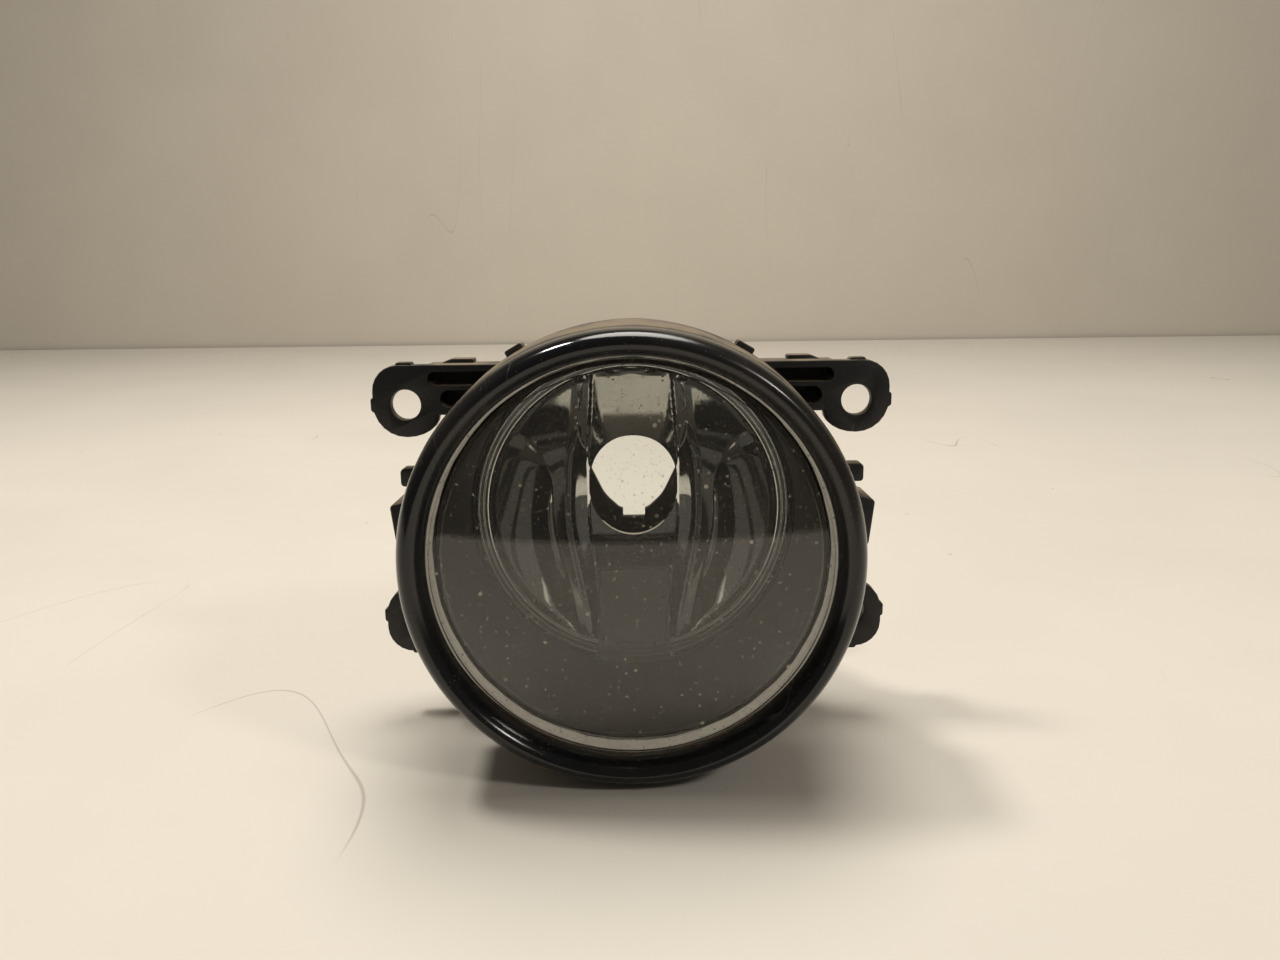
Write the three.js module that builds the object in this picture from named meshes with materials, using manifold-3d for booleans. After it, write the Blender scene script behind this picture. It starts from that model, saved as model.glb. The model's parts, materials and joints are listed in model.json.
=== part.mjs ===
// A round front fog light on its bumper bracket. The lamp unit hangs on two side trunnions in a
// four-eared bracket, and an adjuster screw under it moves a nut that tips the unit up and down.
// Millimetres, +Z up, the lens looks along -Y. The origin is the centre of the four ear holes, on
// the ears' front face. The lamp unit is modelled round its own optical axis, from the bezel's
// widest plane backwards, in a group that puts it in the bracket.
import * as THREE from "three";
import { mergeVertices } from "three/addons/utils/BufferGeometryUtils.js";
import Module from "manifold-3d";

const wasm = await Module();
wasm.setup();

// Facets and clearances
const roundFacets = 48;
const smallFacets = 20;
const curveSteps = 6;
const weldDistance = 1e-4;
const restGap = 0.3; // between pieces that rest on each other
const runGap = 0.15; // round a shaft that turns
const tiltGap = 0.8; // round the lamp unit where the bracket's hoop surrounds it
const forkGap = 0.6; // fore and aft of the fork in the nut's grooves
const cutMargin = 1; // how far a cutting tool runs past the face that it opens

// Where the lamp unit sits in the bracket
const lampReach = 35; // ears' front face to the bezel's widest plane
const lampDrop = 2.5; // hole centre down to the optical axis

// Reflector: a flat front ring, and behind it a bowl, a parabola of revolution with a bulb hole
const mouthRadius = 38.6;
const mouthDepth = 45;
const rimWidth = 4; // from the ring's outer edge in to the bowl
const rimLip = 0.2; // the bowl's edge behind the ring's front
const focalLength = 11.8;
const bulbHoleRadius = 11.7;
const reflectorWall = 1.8;
const reflectorSpace = 1.2; // air between the bowl and the housing

// Inner trim tube, between the lens and the reflector's rim
const trimSetback = 0.1;
const trimWall = 1;

// Housing
const housingWall = 2.2;
const lensWall = 1.3;
const skirtStep = 0.2; // the skirt's front edge outside the bezel
const skirtFlare = 0.6;
const skirtWall = 2;
const skirtLength = 15.6;
const skirtRoot = 3.9;
const frontEdgeDepth = 2;
const collarRadius = 19.5;
const collarWall = 3.2;
const lugAngle = 60;
const lugWidth = 4;
const lugLength = 4;
const lugHeight = 1.1;
const ribWall = 1.6;
const ribCount = 5;
const ribFirstAngle = 18;
const ribOverlap = 2.4; // outwards past the bowl's edge
const ribHeight = 1;
const ribRise = 10.6; // along the collar, from where it leaves the shell

// Lens, seal and bezel
const sealInset = 0.2;
const sealWidth = 3.1;
const sealThickness = 1.7;
const lensEdgeOverlap = 0.2; // lens flange past the seal's outer edge
const lensFlangeThickness = 2.5;
const lensEdgeGap = 0.4;
const lensStep = 2; // the flange's width, hidden under the bezel's lip
const lensShoulder = 2; // the rounded shoulder's width
const lensThickness = 3;
const domeRise = 3;
const windowDepth = -1.5; // the front surface where the dome ends
const lensFootWidth = 4.2;
const bezelWall = 1.8;
const bezelRise = 5;
const bezelLipDepth = 1;
const bezelLipWall = 1.4;
const bezelHollow = 2.2;
const bezelRimDepth = 4;

// Bulb seat, with its keyed hole
const seatSetback = 14.4; // from the bowl's bulb hole back to the seat's plate
const seatPlate = 2.5;
const seatLength = 6.5;
const seatRimWall = 2.2;
const keyLobeRadius = 12;
const keyLobeLift = 0.5;
const keyLobeEnd = 12; // degrees above the lobe's centre where its arc ends, each side
const keyShoulderHalf = 8.1;
const keyShoulderDrop = 4.6;
const keyNarrowHalf = 4.2;
const keyNarrowDrop = 8.2;
const keySlotHalf = 3.1;
const keySlotShoulder = 8.6;
const keySlotDrop = 10.8;

// Breather nipple and its rubber elbow
const ventAngle = 54;
const ventOffset = 27;
const ventRadius = 2.4;
const ventBore = 1.2;
const ventGrip = 5; // the nipple's length inside the elbow
const elbowWall = 1.2;
const elbowLift = 0.9; // from the shell to the elbow's foot
const elbowRun = 2; // from the nipple's tip to the bend
const elbowBend = 5;
const elbowOutlet = 6;

// Bracket
const earSpanX = 102;
const earSpanZ = 50;
const earHoleRadius = 3.45;
const earEdge = 7.4;
const earCrown = 9;
const earCorner = 6;
const earThickness = 3;
const earNubLength = 4;
const earNubHeight = 0.6;
const bracketDepth = 8;
const hoopWall = 3;
const armUnderside = 2.4; // below the hole's centre
const armRoot = 20;
const armSkin = 1.6;
const armMidRib = 1;
const armMidRibLift = 3.4; // above the hole's centre
const armEarOverlap = 4.6;
const pocketEarGap = 5.2;
const pocketHoopGap = 1.6;
const padInner = 35.8;
const padOuter = 43.6;
const padSlope = 2.6;
const padHeight = 1;
const padDepth = 4;

// Pivots
const pivotRadius = 3;
const pivotEmbed = 1;
const pivotEndGap = 0.6; // the trunnion's end inside the bush's
const bushWall = 1.5;
const bushLength = 7.7;
const bossEndWall = 4.4; // from the bush's outer end to the boss's
const bossTaper = 1.2;
const bossEmbed = 1; // the boss's root inside the hoop
const bossMargin = 3; // before and behind the hoop
const bossTopInner = 8.3;
const bossTopOuter = 4.8;
const bossBottomOuter = 5.8;
const bossBottomInner = 7;
const stopSetback = 2.2; // in from the boss's outer end
const stopLow = 8.6;
const stopHigh = 12.9;
const stopDepth = 4;

// Adjuster
const tiltDegrees = 4;
const adjusterDrop = 41; // optical axis down to the screw's axis
const screwRadius = 2.5;
const screwTail = 2.5; // in front of the front cross wall
const screwFlangeRadius = 4.6;
const screwFlangeThickness = 1.2;
const screwHeadRadius = 4;
const screwHeadLength = 4;
const screwSlotWidth = 1.2;
const screwSlotDepth = 1.6;
const hexagonSides = 6;
const nutHalfWidth = 5.2;
const nutHalfHeight = 4;
const nutLength = 7.2;
const nutGrooveDepth = 1.7;
const forkThickness = 2.6;
const forkProngInset = 0.1;
const forkTipDrop = 2.2; // below the screw's axis
const forkCrotchGap = 0.6;
const railGap = 0.5;
const railWall = 1.8;
const railRise = 1; // the rail's top above the screw's axis
const railLowGap = 0.2; // the low stretch under the hoop's bore
const railStepGap = 1.8; // behind the housing where it reaches down to the rail's top
const railStepLength = 3;
const frontWallReach = 11.5; // forward from the nut's middle
const rearWallReach = 8.5; // back from the nut's middle
const wallThickness = 3;
const wallRise = 4.5; // the cross wall's top above the screw's axis
const wallFoot = 5; // the cross wall's foot below the screw's axis
const retainerRadius = 4.2;
const retainerThickness = 1.6;

// Sizes that follow from those
const trimInner = mouthRadius + trimSetback;
const trimOuter = trimInner + trimWall;
const boreRadius = trimOuter + restGap;
const bodyRadius = boreRadius + housingWall;
const hoopInner = bodyRadius + tiltGap;
const hoopOuter = hoopInner + hoopWall;
const bowlMouthRadius = mouthRadius - rimWidth;
const bowlStart = mouthDepth + rimLip;
const bowlVertex = bowlStart + bowlMouthRadius ** 2 / (4 * focalLength);
const bulbHoleDepth = bowlVertex - bulbHoleRadius ** 2 / (4 * focalLength);
const ringBack = mouthDepth + reflectorWall;
const barrelBoreEnd = ringBack + reflectorSpace;
const barrelEnd = barrelBoreEnd + housingWall;
const sealInner = trimInner + sealInset;
const sealOuter = sealInner + sealWidth;
const lensRadius = sealOuter + lensEdgeOverlap;
const lensBodyRadius = lensRadius - lensStep;
const lensWindow = lensBodyRadius - lensShoulder;
const lensPocketRadius = lensRadius + lensEdgeGap;
const frontWallRadius = lensPocketRadius + lensWall;
const bezelInnerRim = frontWallRadius + restGap;
const bezelRadius = bezelInnerRim + bezelWall;
const bezelOpening = lensBodyRadius + lensEdgeGap;
const lensFlangeFront = bezelLipDepth + lensEdgeGap;
const lensFlangeBack = lensFlangeFront + lensFlangeThickness;
const sealFront = lensFlangeBack + restGap;
const ledgeDepth = sealFront + sealThickness + restGap;
const skirtRadius = bezelRadius + skirtStep;
const skirtStart = bezelRimDepth + restGap;
const skirtEnd = skirtStart + skirtLength;
const bowlOffsetInner = reflectorWall + reflectorSpace;
const bowlOffsetOuter = bowlOffsetInner + housingWall;
const ribReach = bowlMouthRadius + ribOverlap;
const collarBore = collarRadius - collarWall;
const collarRoot = collarRadius - collarWall / 2; // the middle of the collar's wall
const collarRootDepth = shellDepth(collarRadius);
const seatFront = bulbHoleDepth + seatSetback;
const seatBack = seatFront + seatLength;
const seatRadius = collarBore - restGap;
const elbowBore = ventRadius + runGap;
const elbowOuter = elbowBore + elbowWall;
const elbowStart = shellDepth(ventOffset - elbowOuter) + elbowLift;
const ventTip = elbowStart + ventGrip;
const elbowTurnDepth = ventTip + elbowRun;
const pivotDepth = lampReach + bracketDepth / 2;
const bushInner = pivotRadius + runGap;
const bushOuter = bushInner + bushWall;
const pivotBore = bushOuter + runGap;
const bushStart = hoopInner + restGap;
const bushReach = bushStart + bushLength;
const pivotReach = bushReach - pivotEndGap;
const bossReach = bushReach + bossEndWall;
const bossInner = hoopInner - bossEmbed;
const stopReach = bossReach - stopSetback;
const nutDepth = collarRootDepth; // the fork stands where the shell meets the collar
const nutBore = screwRadius + runGap;
const forkDip = (nutDepth - pivotDepth) * Math.sin(THREE.MathUtils.degToRad(tiltDegrees));
const forkCrotch = adjusterDrop - nutHalfHeight - forkDip - forkCrotchGap;
const forkTip = adjusterDrop + forkTipDrop;
const railInner = nutHalfWidth + railGap;
const railOuter = railInner + railWall;
const railTop = adjusterDrop - railRise;
const railLowTop = hoopInner + railLowGap;
const railStepStart = Math.max(barrelEnd, shellDepth(railTop)) + railStepGap;
const railStepEnd = railStepStart + railStepLength;
const frontWallDepth = nutDepth - frontWallReach;
const rearWallDepth = nutDepth + rearWallReach;
const wallTop = adjusterDrop - wallRise;
const footDrop = Math.max(hoopOuter, adjusterDrop + wallFoot);
const screwFront = frontWallDepth - screwTail;
const wallHole = screwRadius + runGap;
const screwFlangeFront = rearWallDepth + wallThickness + restGap;
const screwHeadFront = screwFlangeFront + screwFlangeThickness;

// Finishes
const finishes = {
  dullBlack: { color: 0x1b1a19, roughness: 0.72, metalness: 0 },
  glossBlack: { color: 0x0b0c10, roughness: 0.18, metalness: 0 },
  trimGrey: { color: 0x3a3835, roughness: 0.8, metalness: 0 },
  mirror: { color: 0xd8d8d6, roughness: 0.08, metalness: 1 },
  clearGlass: { color: 0xe9eef0, roughness: 0.05, metalness: 0 },
  paleSealant: { color: 0xcfc8b8, roughness: 0.6, metalness: 0 },
  blackRubber: { color: 0x161616, roughness: 0.9, metalness: 0 },
  whiteNylon: { color: 0xd9d6cb, roughness: 0.5, metalness: 0 },
  zincSteel: { color: 0xa9aaa8, roughness: 0.35, metalness: 1 },
};

// ---- making and cutting solids ----

function solidOf(geometry) {
  const bare = geometry.index ? geometry.toNonIndexed() : geometry.clone();
  bare.deleteAttribute("normal");
  bare.deleteAttribute("uv");
  const welded = mergeVertices(bare, weldDistance);
  const corners = welded.index.array;
  const kept = [];
  for (let i = 0; i < corners.length; i += 3) {
    const [a, b, c] = corners.slice(i, i + 3);
    if (a !== b && b !== c && c !== a) kept.push(a, b, c);
  }
  const mesh = new wasm.Mesh({
    numProp: 3,
    vertProperties: welded.attributes.position.array,
    triVerts: new Uint32Array(kept),
  });
  return new wasm.Manifold(mesh);
}

function geometryOf(solid) {
  const mesh = solid.getMesh();
  const geometry = new THREE.BufferGeometry();
  geometry.setAttribute("position", new THREE.BufferAttribute(mesh.vertProperties, 3));
  geometry.setIndex(new THREE.BufferAttribute(mesh.triVerts, 1));
  return geometry;
}

function joined(solids) {
  return solids.reduce((whole, solid) => whole.add(solid));
}

// A closed outline of [radius, depth] pairs turned round the Y axis. LatheGeometry faces outwards
// when the outline runs anticlockwise.
function turned(outline, facets = roundFacets) {
  const points = outline.map(([radius, depth]) => new THREE.Vector2(radius, depth));
  if (THREE.ShapeUtils.area(points) < 0) points.reverse();
  points.push(points[0].clone());
  return solidOf(new THREE.LatheGeometry(points, facets));
}

// A shape drawn on X and Z, made solid from one depth to another.
function platedY(shape, front, back) {
  const geometry = new THREE.ExtrudeGeometry(shape, {
    depth: back - front,
    bevelEnabled: false,
    curveSegments: curveSteps,
  });
  geometry.rotateX(Math.PI / 2);
  geometry.translate(0, back, 0);
  return solidOf(geometry);
}

function outlineShape(pairs) {
  return new THREE.Shape(pairs.map(([x, z]) => new THREE.Vector2(x, z)));
}

function block(lowX, highX, lowY, highY, lowZ, highZ) {
  const geometry = new THREE.BoxGeometry(highX - lowX, highY - lowY, highZ - lowZ);
  geometry.translate((lowX + highX) / 2, (lowY + highY) / 2, (lowZ + highZ) / 2);
  return solidOf(geometry);
}

function rodY(radius, front, back, x, z, sides = smallFacets) {
  const geometry = new THREE.CylinderGeometry(radius, radius, back - front, sides);
  geometry.translate(x, (front + back) / 2, z);
  return solidOf(geometry);
}

function rodX(radius, from, to, y, z) {
  const geometry = new THREE.CylinderGeometry(radius, radius, Math.abs(to - from), smallFacets);
  geometry.rotateZ(Math.PI / 2);
  geometry.translate((from + to) / 2, y, z);
  return solidOf(geometry);
}

function piece(name, solid, finish) {
  const mesh = new THREE.Mesh(geometryOf(solid), new THREE.MeshStandardMaterial(finishes[finish]));
  mesh.name = name;
  return mesh;
}

// ---- the bowl's curve ----

// A point of the bowl at one radius, moved outwards along the bowl's normal.
function bowlPoint(radius, offset) {
  const slope = (2 * focalLength) / radius;
  const length = Math.hypot(1, slope);
  const depth = bowlVertex - radius ** 2 / (4 * focalLength);
  return [radius + offset / length, depth + (offset * slope) / length];
}

// The bowl radius whose offset point lies at the wanted radius.
function bowlRadiusAt(wanted, offset) {
  let low = weldDistance;
  let high = wanted;
  while (high - low > weldDistance) {
    const middle = (low + high) / 2;
    if (bowlPoint(middle, offset)[0] < wanted) low = middle;
    else high = middle;
  }
  return (low + high) / 2;
}

function bowlCurve(fromRadius, toRadius, offset) {
  const start = bowlRadiusAt(fromRadius, offset);
  const end = bowlRadiusAt(toRadius, offset);
  const points = [];
  for (let i = 0; i <= curveSteps; i++) {
    points.push(bowlPoint(start + ((end - start) * i) / curveSteps, offset));
  }
  return points;
}

// The depth of the housing shell's outside at a radius.
function shellDepth(radius) {
  return bowlPoint(bowlRadiusAt(radius, bowlOffsetOuter), bowlOffsetOuter)[1];
}

// ---- lamp unit ----

function dome(radius, edgeDepth, rise) {
  const sphere = (radius ** 2 + rise ** 2) / (2 * rise);
  const points = [];
  for (let i = 0; i <= curveSteps; i++) {
    const r = (radius * i) / curveSteps;
    points.push([r, edgeDepth - rise + sphere - Math.sqrt(sphere ** 2 - r ** 2)]);
  }
  return points;
}

function lens() {
  const footInner = lensRadius - lensFootWidth;
  const backEdge = windowDepth + lensThickness;
  const shoulderMiddle = lensWindow + lensShoulder * Math.SQRT1_2;
  const shoulderDepth = lensFlangeFront - windowDepth;
  const shoulderMiddleDepth = windowDepth + shoulderDepth * (1 - Math.SQRT1_2);
  return turned([
    ...dome(lensWindow, windowDepth, domeRise),
    [shoulderMiddle, shoulderMiddleDepth],
    [lensBodyRadius, lensFlangeFront],
    [lensRadius, lensFlangeFront],
    [lensRadius, lensFlangeBack],
    [footInner, lensFlangeBack],
    ...dome(footInner, backEdge, domeRise).reverse(),
  ]);
}

function lensSeal() {
  return turned([
    [sealInner, sealFront],
    [sealOuter, sealFront],
    [sealOuter, sealFront + sealThickness],
    [sealInner, sealFront + sealThickness],
  ]);
}

function frontBezel() {
  const middle = (bezelRadius + bezelOpening) / 2;
  const half = (bezelRadius - bezelOpening) / 2;
  const roll = [];
  for (let i = 0; i <= curveSteps; i++) {
    const turn = (Math.PI * i) / curveSteps;
    roll.push([middle + half * Math.cos(turn), -bezelRise * Math.sin(turn)]);
  }
  const lipBack = bezelOpening + bezelLipWall;
  return turned([
    ...roll,
    [bezelOpening, bezelLipDepth],
    [lipBack, bezelLipDepth],
    [lipBack, -bezelHollow],
    [bezelInnerRim, -bezelHollow],
    [bezelInnerRim, bezelRimDepth],
    [bezelRadius, bezelRimDepth],
  ]);
}

function innerTrimRing() {
  const back = mouthDepth - restGap;
  return turned([
    [trimInner, ledgeDepth],
    [trimOuter, ledgeDepth],
    [trimOuter, back],
    [trimInner, back],
  ]);
}

function reflector() {
  const backHole = bowlPoint(bulbHoleRadius, reflectorWall)[0];
  const backMouth = bowlPoint(bowlMouthRadius, reflectorWall)[0];
  return turned([
    [trimOuter, mouthDepth],
    [bowlMouthRadius, mouthDepth],
    ...bowlCurve(bowlMouthRadius, bulbHoleRadius, 0),
    ...bowlCurve(backHole, backMouth, reflectorWall),
    [trimOuter, ringBack],
  ]);
}

function radialRib(angle) {
  const edgeDepth = shellDepth(ribReach);
  const shape = outlineShape([
    [collarRoot, collarRootDepth - housingWall],
    [ribReach, edgeDepth - housingWall / 2],
    [ribReach, edgeDepth + ribHeight],
    [collarRoot, collarRootDepth + ribRise],
  ]);
  const geometry = new THREE.ExtrudeGeometry(shape, { depth: ribWall, bevelEnabled: false });
  geometry.translate(0, 0, -ribWall / 2);
  geometry.rotateY(-THREE.MathUtils.degToRad(angle));
  return solidOf(geometry);
}

function skirtLug(side) {
  const angle = THREE.MathUtils.degToRad(lugAngle);
  const skirtTop = skirtRadius + skirtFlare;
  const geometry = new THREE.BoxGeometry(lugHeight + skirtWall, lugLength, lugWidth);
  geometry.translate(skirtTop + (lugHeight - skirtWall) / 2, skirtEnd - lugLength / 2, 0);
  geometry.rotateY(-angle);
  if (side < 0) geometry.rotateY(Math.PI + 2 * angle);
  return solidOf(geometry);
}

function adjusterFork() {
  const prongOuter = nutHalfWidth;
  const prongInner = nutHalfWidth - nutGrooveDepth + forkProngInset;
  const front = nutDepth - forkThickness / 2;
  const shape = outlineShape([
    [-prongOuter, -collarRoot],
    [-prongOuter, -forkTip],
    [-prongInner, -forkTip],
    [-prongInner, -forkCrotch],
    [prongInner, -forkCrotch],
    [prongInner, -forkTip],
    [prongOuter, -forkTip],
    [prongOuter, -collarRoot],
  ]);
  return platedY(shape, front, front + forkThickness);
}

function ventPlace() {
  const angle = THREE.MathUtils.degToRad(ventAngle);
  return [ventOffset * Math.cos(angle), ventOffset * Math.sin(angle)];
}

function lampHousing() {
  const flared = skirtRadius + skirtFlare;
  const shellMouth = bowlPoint(bowlMouthRadius, bowlOffsetOuter);
  const cavityMouth = bowlPoint(bowlMouthRadius, bowlOffsetInner);
  const barrel = turned([
    [0, frontEdgeDepth],
    [frontWallRadius, frontEdgeDepth],
    [frontWallRadius, skirtStart],
    [skirtRadius, skirtStart],
    [flared, skirtEnd],
    [flared - skirtWall, skirtEnd],
    [skirtRadius - skirtWall, skirtStart + skirtRoot],
    [bodyRadius, skirtStart + skirtRoot],
    [bodyRadius, barrelEnd],
    [0, barrelEnd],
  ]);
  const shell = turned([
    [0, shellMouth[1]],
    ...bowlCurve(shellMouth[0], collarRadius, bowlOffsetOuter),
    [collarRadius, seatBack],
    [0, seatBack],
  ]);
  const barrelBore = turned([
    [0, frontEdgeDepth - cutMargin],
    [lensPocketRadius, frontEdgeDepth - cutMargin],
    [lensPocketRadius, ledgeDepth],
    [boreRadius, ledgeDepth],
    [boreRadius, barrelBoreEnd],
    [0, barrelBoreEnd],
  ]);
  const shellBore = turned([
    [0, cavityMouth[1]],
    ...bowlCurve(cavityMouth[0], collarBore, bowlOffsetInner),
    [collarBore, seatBack + cutMargin],
    [0, seatBack + cutMargin],
  ]);
  const added = [barrel, shell, adjusterFork()];
  for (const side of [-1, 1]) {
    const root = side * (bodyRadius - pivotEmbed);
    added.push(rodX(pivotRadius, root, side * pivotReach, pivotDepth, 0));
    added.push(skirtLug(side));
  }
  for (let i = 0; i < ribCount; i++) {
    added.push(radialRib(ribFirstAngle + (360 * i) / ribCount));
  }
  const [ventX, ventZ] = ventPlace();
  added.push(rodY(ventRadius, mouthDepth, ventTip, ventX, ventZ));
  const ventHole = rodY(ventBore, mouthDepth, ventTip + cutMargin, ventX, ventZ);
  return joined(added).subtract(joined([barrelBore, shellBore, ventHole]));
}

function bulbSeat() {
  const end = THREE.MathUtils.degToRad(keyLobeEnd);
  const key = new THREE.Shape();
  key.absarc(0, keyLobeLift, keyLobeRadius, end, Math.PI - end, false);
  key.lineTo(-keyShoulderHalf, -keyShoulderDrop);
  key.lineTo(-keyNarrowHalf, -keyNarrowDrop);
  key.lineTo(-keySlotHalf, -keySlotShoulder);
  key.lineTo(-keySlotHalf, -keySlotDrop);
  key.lineTo(keySlotHalf, -keySlotDrop);
  key.lineTo(keySlotHalf, -keySlotShoulder);
  key.lineTo(keyNarrowHalf, -keyNarrowDrop);
  key.lineTo(keyShoulderHalf, -keyShoulderDrop);
  const keyHole = platedY(key, seatFront - cutMargin, seatBack);
  const recessRadius = seatRadius - seatRimWall;
  const recess = rodY(recessRadius, seatFront + seatPlate, seatBack + cutMargin, 0, 0, roundFacets);
  return rodY(seatRadius, seatFront, seatBack, 0, 0, roundFacets).subtract(recess).subtract(keyHole);
}

function breatherElbow() {
  const [x, z] = ventPlace();
  const path = new THREE.CurvePath();
  const corner = new THREE.Vector3(x, elbowTurnDepth + elbowBend, z);
  const bendStart = new THREE.Vector3(x, elbowTurnDepth, z);
  const bendEnd = new THREE.Vector3(x + elbowBend, elbowTurnDepth + elbowBend, z);
  const outlet = new THREE.Vector3(x + elbowBend + elbowOutlet, elbowTurnDepth + elbowBend, z);
  path.add(new THREE.LineCurve3(new THREE.Vector3(x, elbowStart, z), bendStart));
  path.add(new THREE.QuadraticBezierCurve3(bendStart, corner, bendEnd));
  path.add(new THREE.LineCurve3(bendEnd, outlet));
  const section = new THREE.Shape();
  section.absarc(0, 0, elbowOuter, 0, 2 * Math.PI, false);
  const inside = new THREE.Path();
  inside.absarc(0, 0, elbowBore, 0, 2 * Math.PI, true);
  section.holes.push(inside);
  const geometry = new THREE.ExtrudeGeometry(section, {
    steps: 2 * curveSteps,
    extrudePath: path,
    curveSegments: curveSteps,
  });
  return solidOf(geometry);
}

// ---- bracket ----

// The whole arm and ear, drawn for the upper right and turned over for the other three corners.
function armSolids(sideX, sideZ) {
  const holeX = earSpanX / 2;
  const holeZ = earSpanZ / 2;
  const place = (points) => outlineShape(points.map(([x, z]) => [sideX * x, sideZ * z]));
  const ear = new THREE.Shape();
  const top = holeZ + earCrown;
  const side = holeX + earEdge;
  ear.moveTo(holeX - armEarOverlap, top);
  ear.lineTo(side - earCorner, top);
  ear.absarc(side - earCorner, top - earCorner, earCorner, Math.PI / 2, 0, true);
  ear.absarc(holeX, holeZ, earEdge, 0, -Math.PI, true);
  ear.lineTo(holeX - earEdge, top);
  const earPoints = ear.getPoints(curveSteps).map((p) => [p.x, p.y]);
  const sideNub = place([
    [side - earNubHeight, holeZ - earNubLength / 2],
    [side + earNubHeight, holeZ - earNubLength / 2 + earNubHeight],
    [side + earNubHeight, holeZ + earNubLength / 2 - earNubHeight],
    [side - earNubHeight, holeZ + earNubLength / 2],
  ]);
  const topNub = place([
    [holeX - earNubLength / 2, top - earNubHeight],
    [holeX - earNubLength / 2 + earNubHeight, top + earNubHeight],
    [holeX + earNubLength / 2 - earNubHeight, top + earNubHeight],
    [holeX + earNubLength / 2, top - earNubHeight],
  ]);
  const arm = place([
    [armRoot, holeZ - armUnderside],
    [holeX - armEarOverlap, holeZ - armUnderside],
    [holeX - armEarOverlap, top],
    [armRoot, top],
  ]);
  const pad = place([
    [padInner, top - armSkin],
    [padOuter, top - armSkin],
    [padOuter - padSlope, top + padHeight],
    [padInner, top + padHeight],
  ]);
  return [
    platedY(place(earPoints), 0, earThickness),
    platedY(sideNub, 0, earThickness),
    platedY(topNub, 0, earThickness),
    platedY(arm, 0, bracketDepth),
    platedY(pad, bracketDepth - padDepth, bracketDepth),
  ];
}

// The two long pockets in an arm's front, split by the middle rib.
function armPockets(sideX, sideZ, hoopKeep) {
  const holeZ = earSpanZ / 2;
  const floor = bracketDepth - armSkin;
  const outerEnd = earSpanX / 2 - pocketEarGap;
  const rows = [
    [holeZ - armUnderside + armSkin, holeZ + armMidRibLift],
    [holeZ + armMidRibLift + armMidRib, holeZ + earCrown - armSkin],
  ];
  return rows.map(([low, high]) => {
    const corners = [
      [armRoot, low],
      [outerEnd, low],
      [outerEnd, high],
      [armRoot, high],
    ];
    const shape = outlineShape(corners.map(([x, z]) => [sideX * x, sideZ * z]));
    return platedY(shape, -cutMargin, floor).subtract(hoopKeep);
  });
}

function pivotBoss(side) {
  const shape = outlineShape([
    [side * bossInner, bossTopInner - lampDrop],
    [side * bossReach, bossTopOuter - lampDrop],
    [side * (bossReach - bossTaper), -bossBottomOuter - lampDrop],
    [side * bossInner, -bossBottomInner - lampDrop],
  ]);
  const stop = outlineShape([
    [side * bossInner, stopLow - lampDrop],
    [side * stopReach, stopLow - lampDrop],
    [side * stopReach, stopHigh - lampDrop],
    [side * bossInner, stopHigh - lampDrop],
  ]);
  return [
    platedY(shape, -bossMargin, bracketDepth + bossMargin),
    platedY(stop, 0, stopDepth),
  ];
}

// Two rails and two cross walls under the lamp, which carry the adjuster screw. The rails' lower
// edges are level with the hoop, so the bracket has a flat foot.
function adjusterCarrier() {
  const z = (drop) => -drop - lampDrop;
  const y = (depth) => depth - lampReach;
  const railEnd = rearWallDepth + wallThickness;
  const railPoints = [
    [y(lampReach), z(footDrop)],
    [y(railEnd), z(footDrop)],
    [y(railEnd), z(railTop)],
    [y(railStepEnd), z(railTop)],
    [y(railStepStart), z(railLowTop)],
    [y(lampReach), z(railLowTop)],
  ];
  const solids = [];
  for (const side of [-1, 1]) {
    const shape = new THREE.Shape(railPoints.map(([u, v]) => new THREE.Vector2(-v, u)));
    const geometry = new THREE.ExtrudeGeometry(shape, { depth: railWall, bevelEnabled: false });
    geometry.rotateY(Math.PI / 2);
    geometry.translate(side > 0 ? railInner : -railOuter, 0, 0);
    solids.push(solidOf(geometry));
  }
  for (const depth of [frontWallDepth, rearWallDepth]) {
    solids.push(block(-railOuter, railOuter, y(depth), y(depth + wallThickness), z(footDrop), z(wallTop)));
  }
  return solids;
}

function mountingBracket() {
  const hoop = rodY(hoopOuter, 0, bracketDepth, 0, -lampDrop, roundFacets);
  const hoopKeep = rodY(hoopOuter + pocketHoopGap, -lampReach, lampReach, 0, -lampDrop, roundFacets);
  const boreMargin = bossMargin + cutMargin;
  const bore = rodY(hoopInner, -boreMargin, bracketDepth + boreMargin, 0, -lampDrop, roundFacets);
  const screwHole = rodY(
    wallHole,
    frontWallDepth - lampReach - cutMargin,
    rearWallDepth + wallThickness - lampReach + cutMargin,
    0,
    -lampDrop - adjusterDrop,
  );
  const added = [hoop, ...adjusterCarrier()];
  const cut = [bore, screwHole];
  for (const sideX of [-1, 1]) {
    added.push(...pivotBoss(sideX));
    const boreStart = sideX * (hoopInner - cutMargin);
    const boreEnd = sideX * (bushReach + restGap);
    cut.push(rodX(pivotBore, boreStart, boreEnd, bracketDepth / 2, -lampDrop));
    for (const sideZ of [-1, 1]) {
      const holeX = (sideX * earSpanX) / 2;
      const holeZ = (sideZ * earSpanZ) / 2;
      added.push(...armSolids(sideX, sideZ));
      cut.push(...armPockets(sideX, sideZ, hoopKeep));
      cut.push(rodY(earHoleRadius, -cutMargin, bracketDepth + cutMargin, holeX, holeZ));
    }
  }
  return joined(added).subtract(joined(cut));
}

function pivotBush(side) {
  const shell = rodX(bushOuter, side * bushStart, side * bushReach, bracketDepth / 2, -lampDrop);
  const inside = rodX(
    bushInner,
    side * (bushStart - cutMargin),
    side * (bushReach + cutMargin),
    bracketDepth / 2,
    -lampDrop,
  );
  return shell.subtract(inside);
}

// ---- adjuster ----

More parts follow.
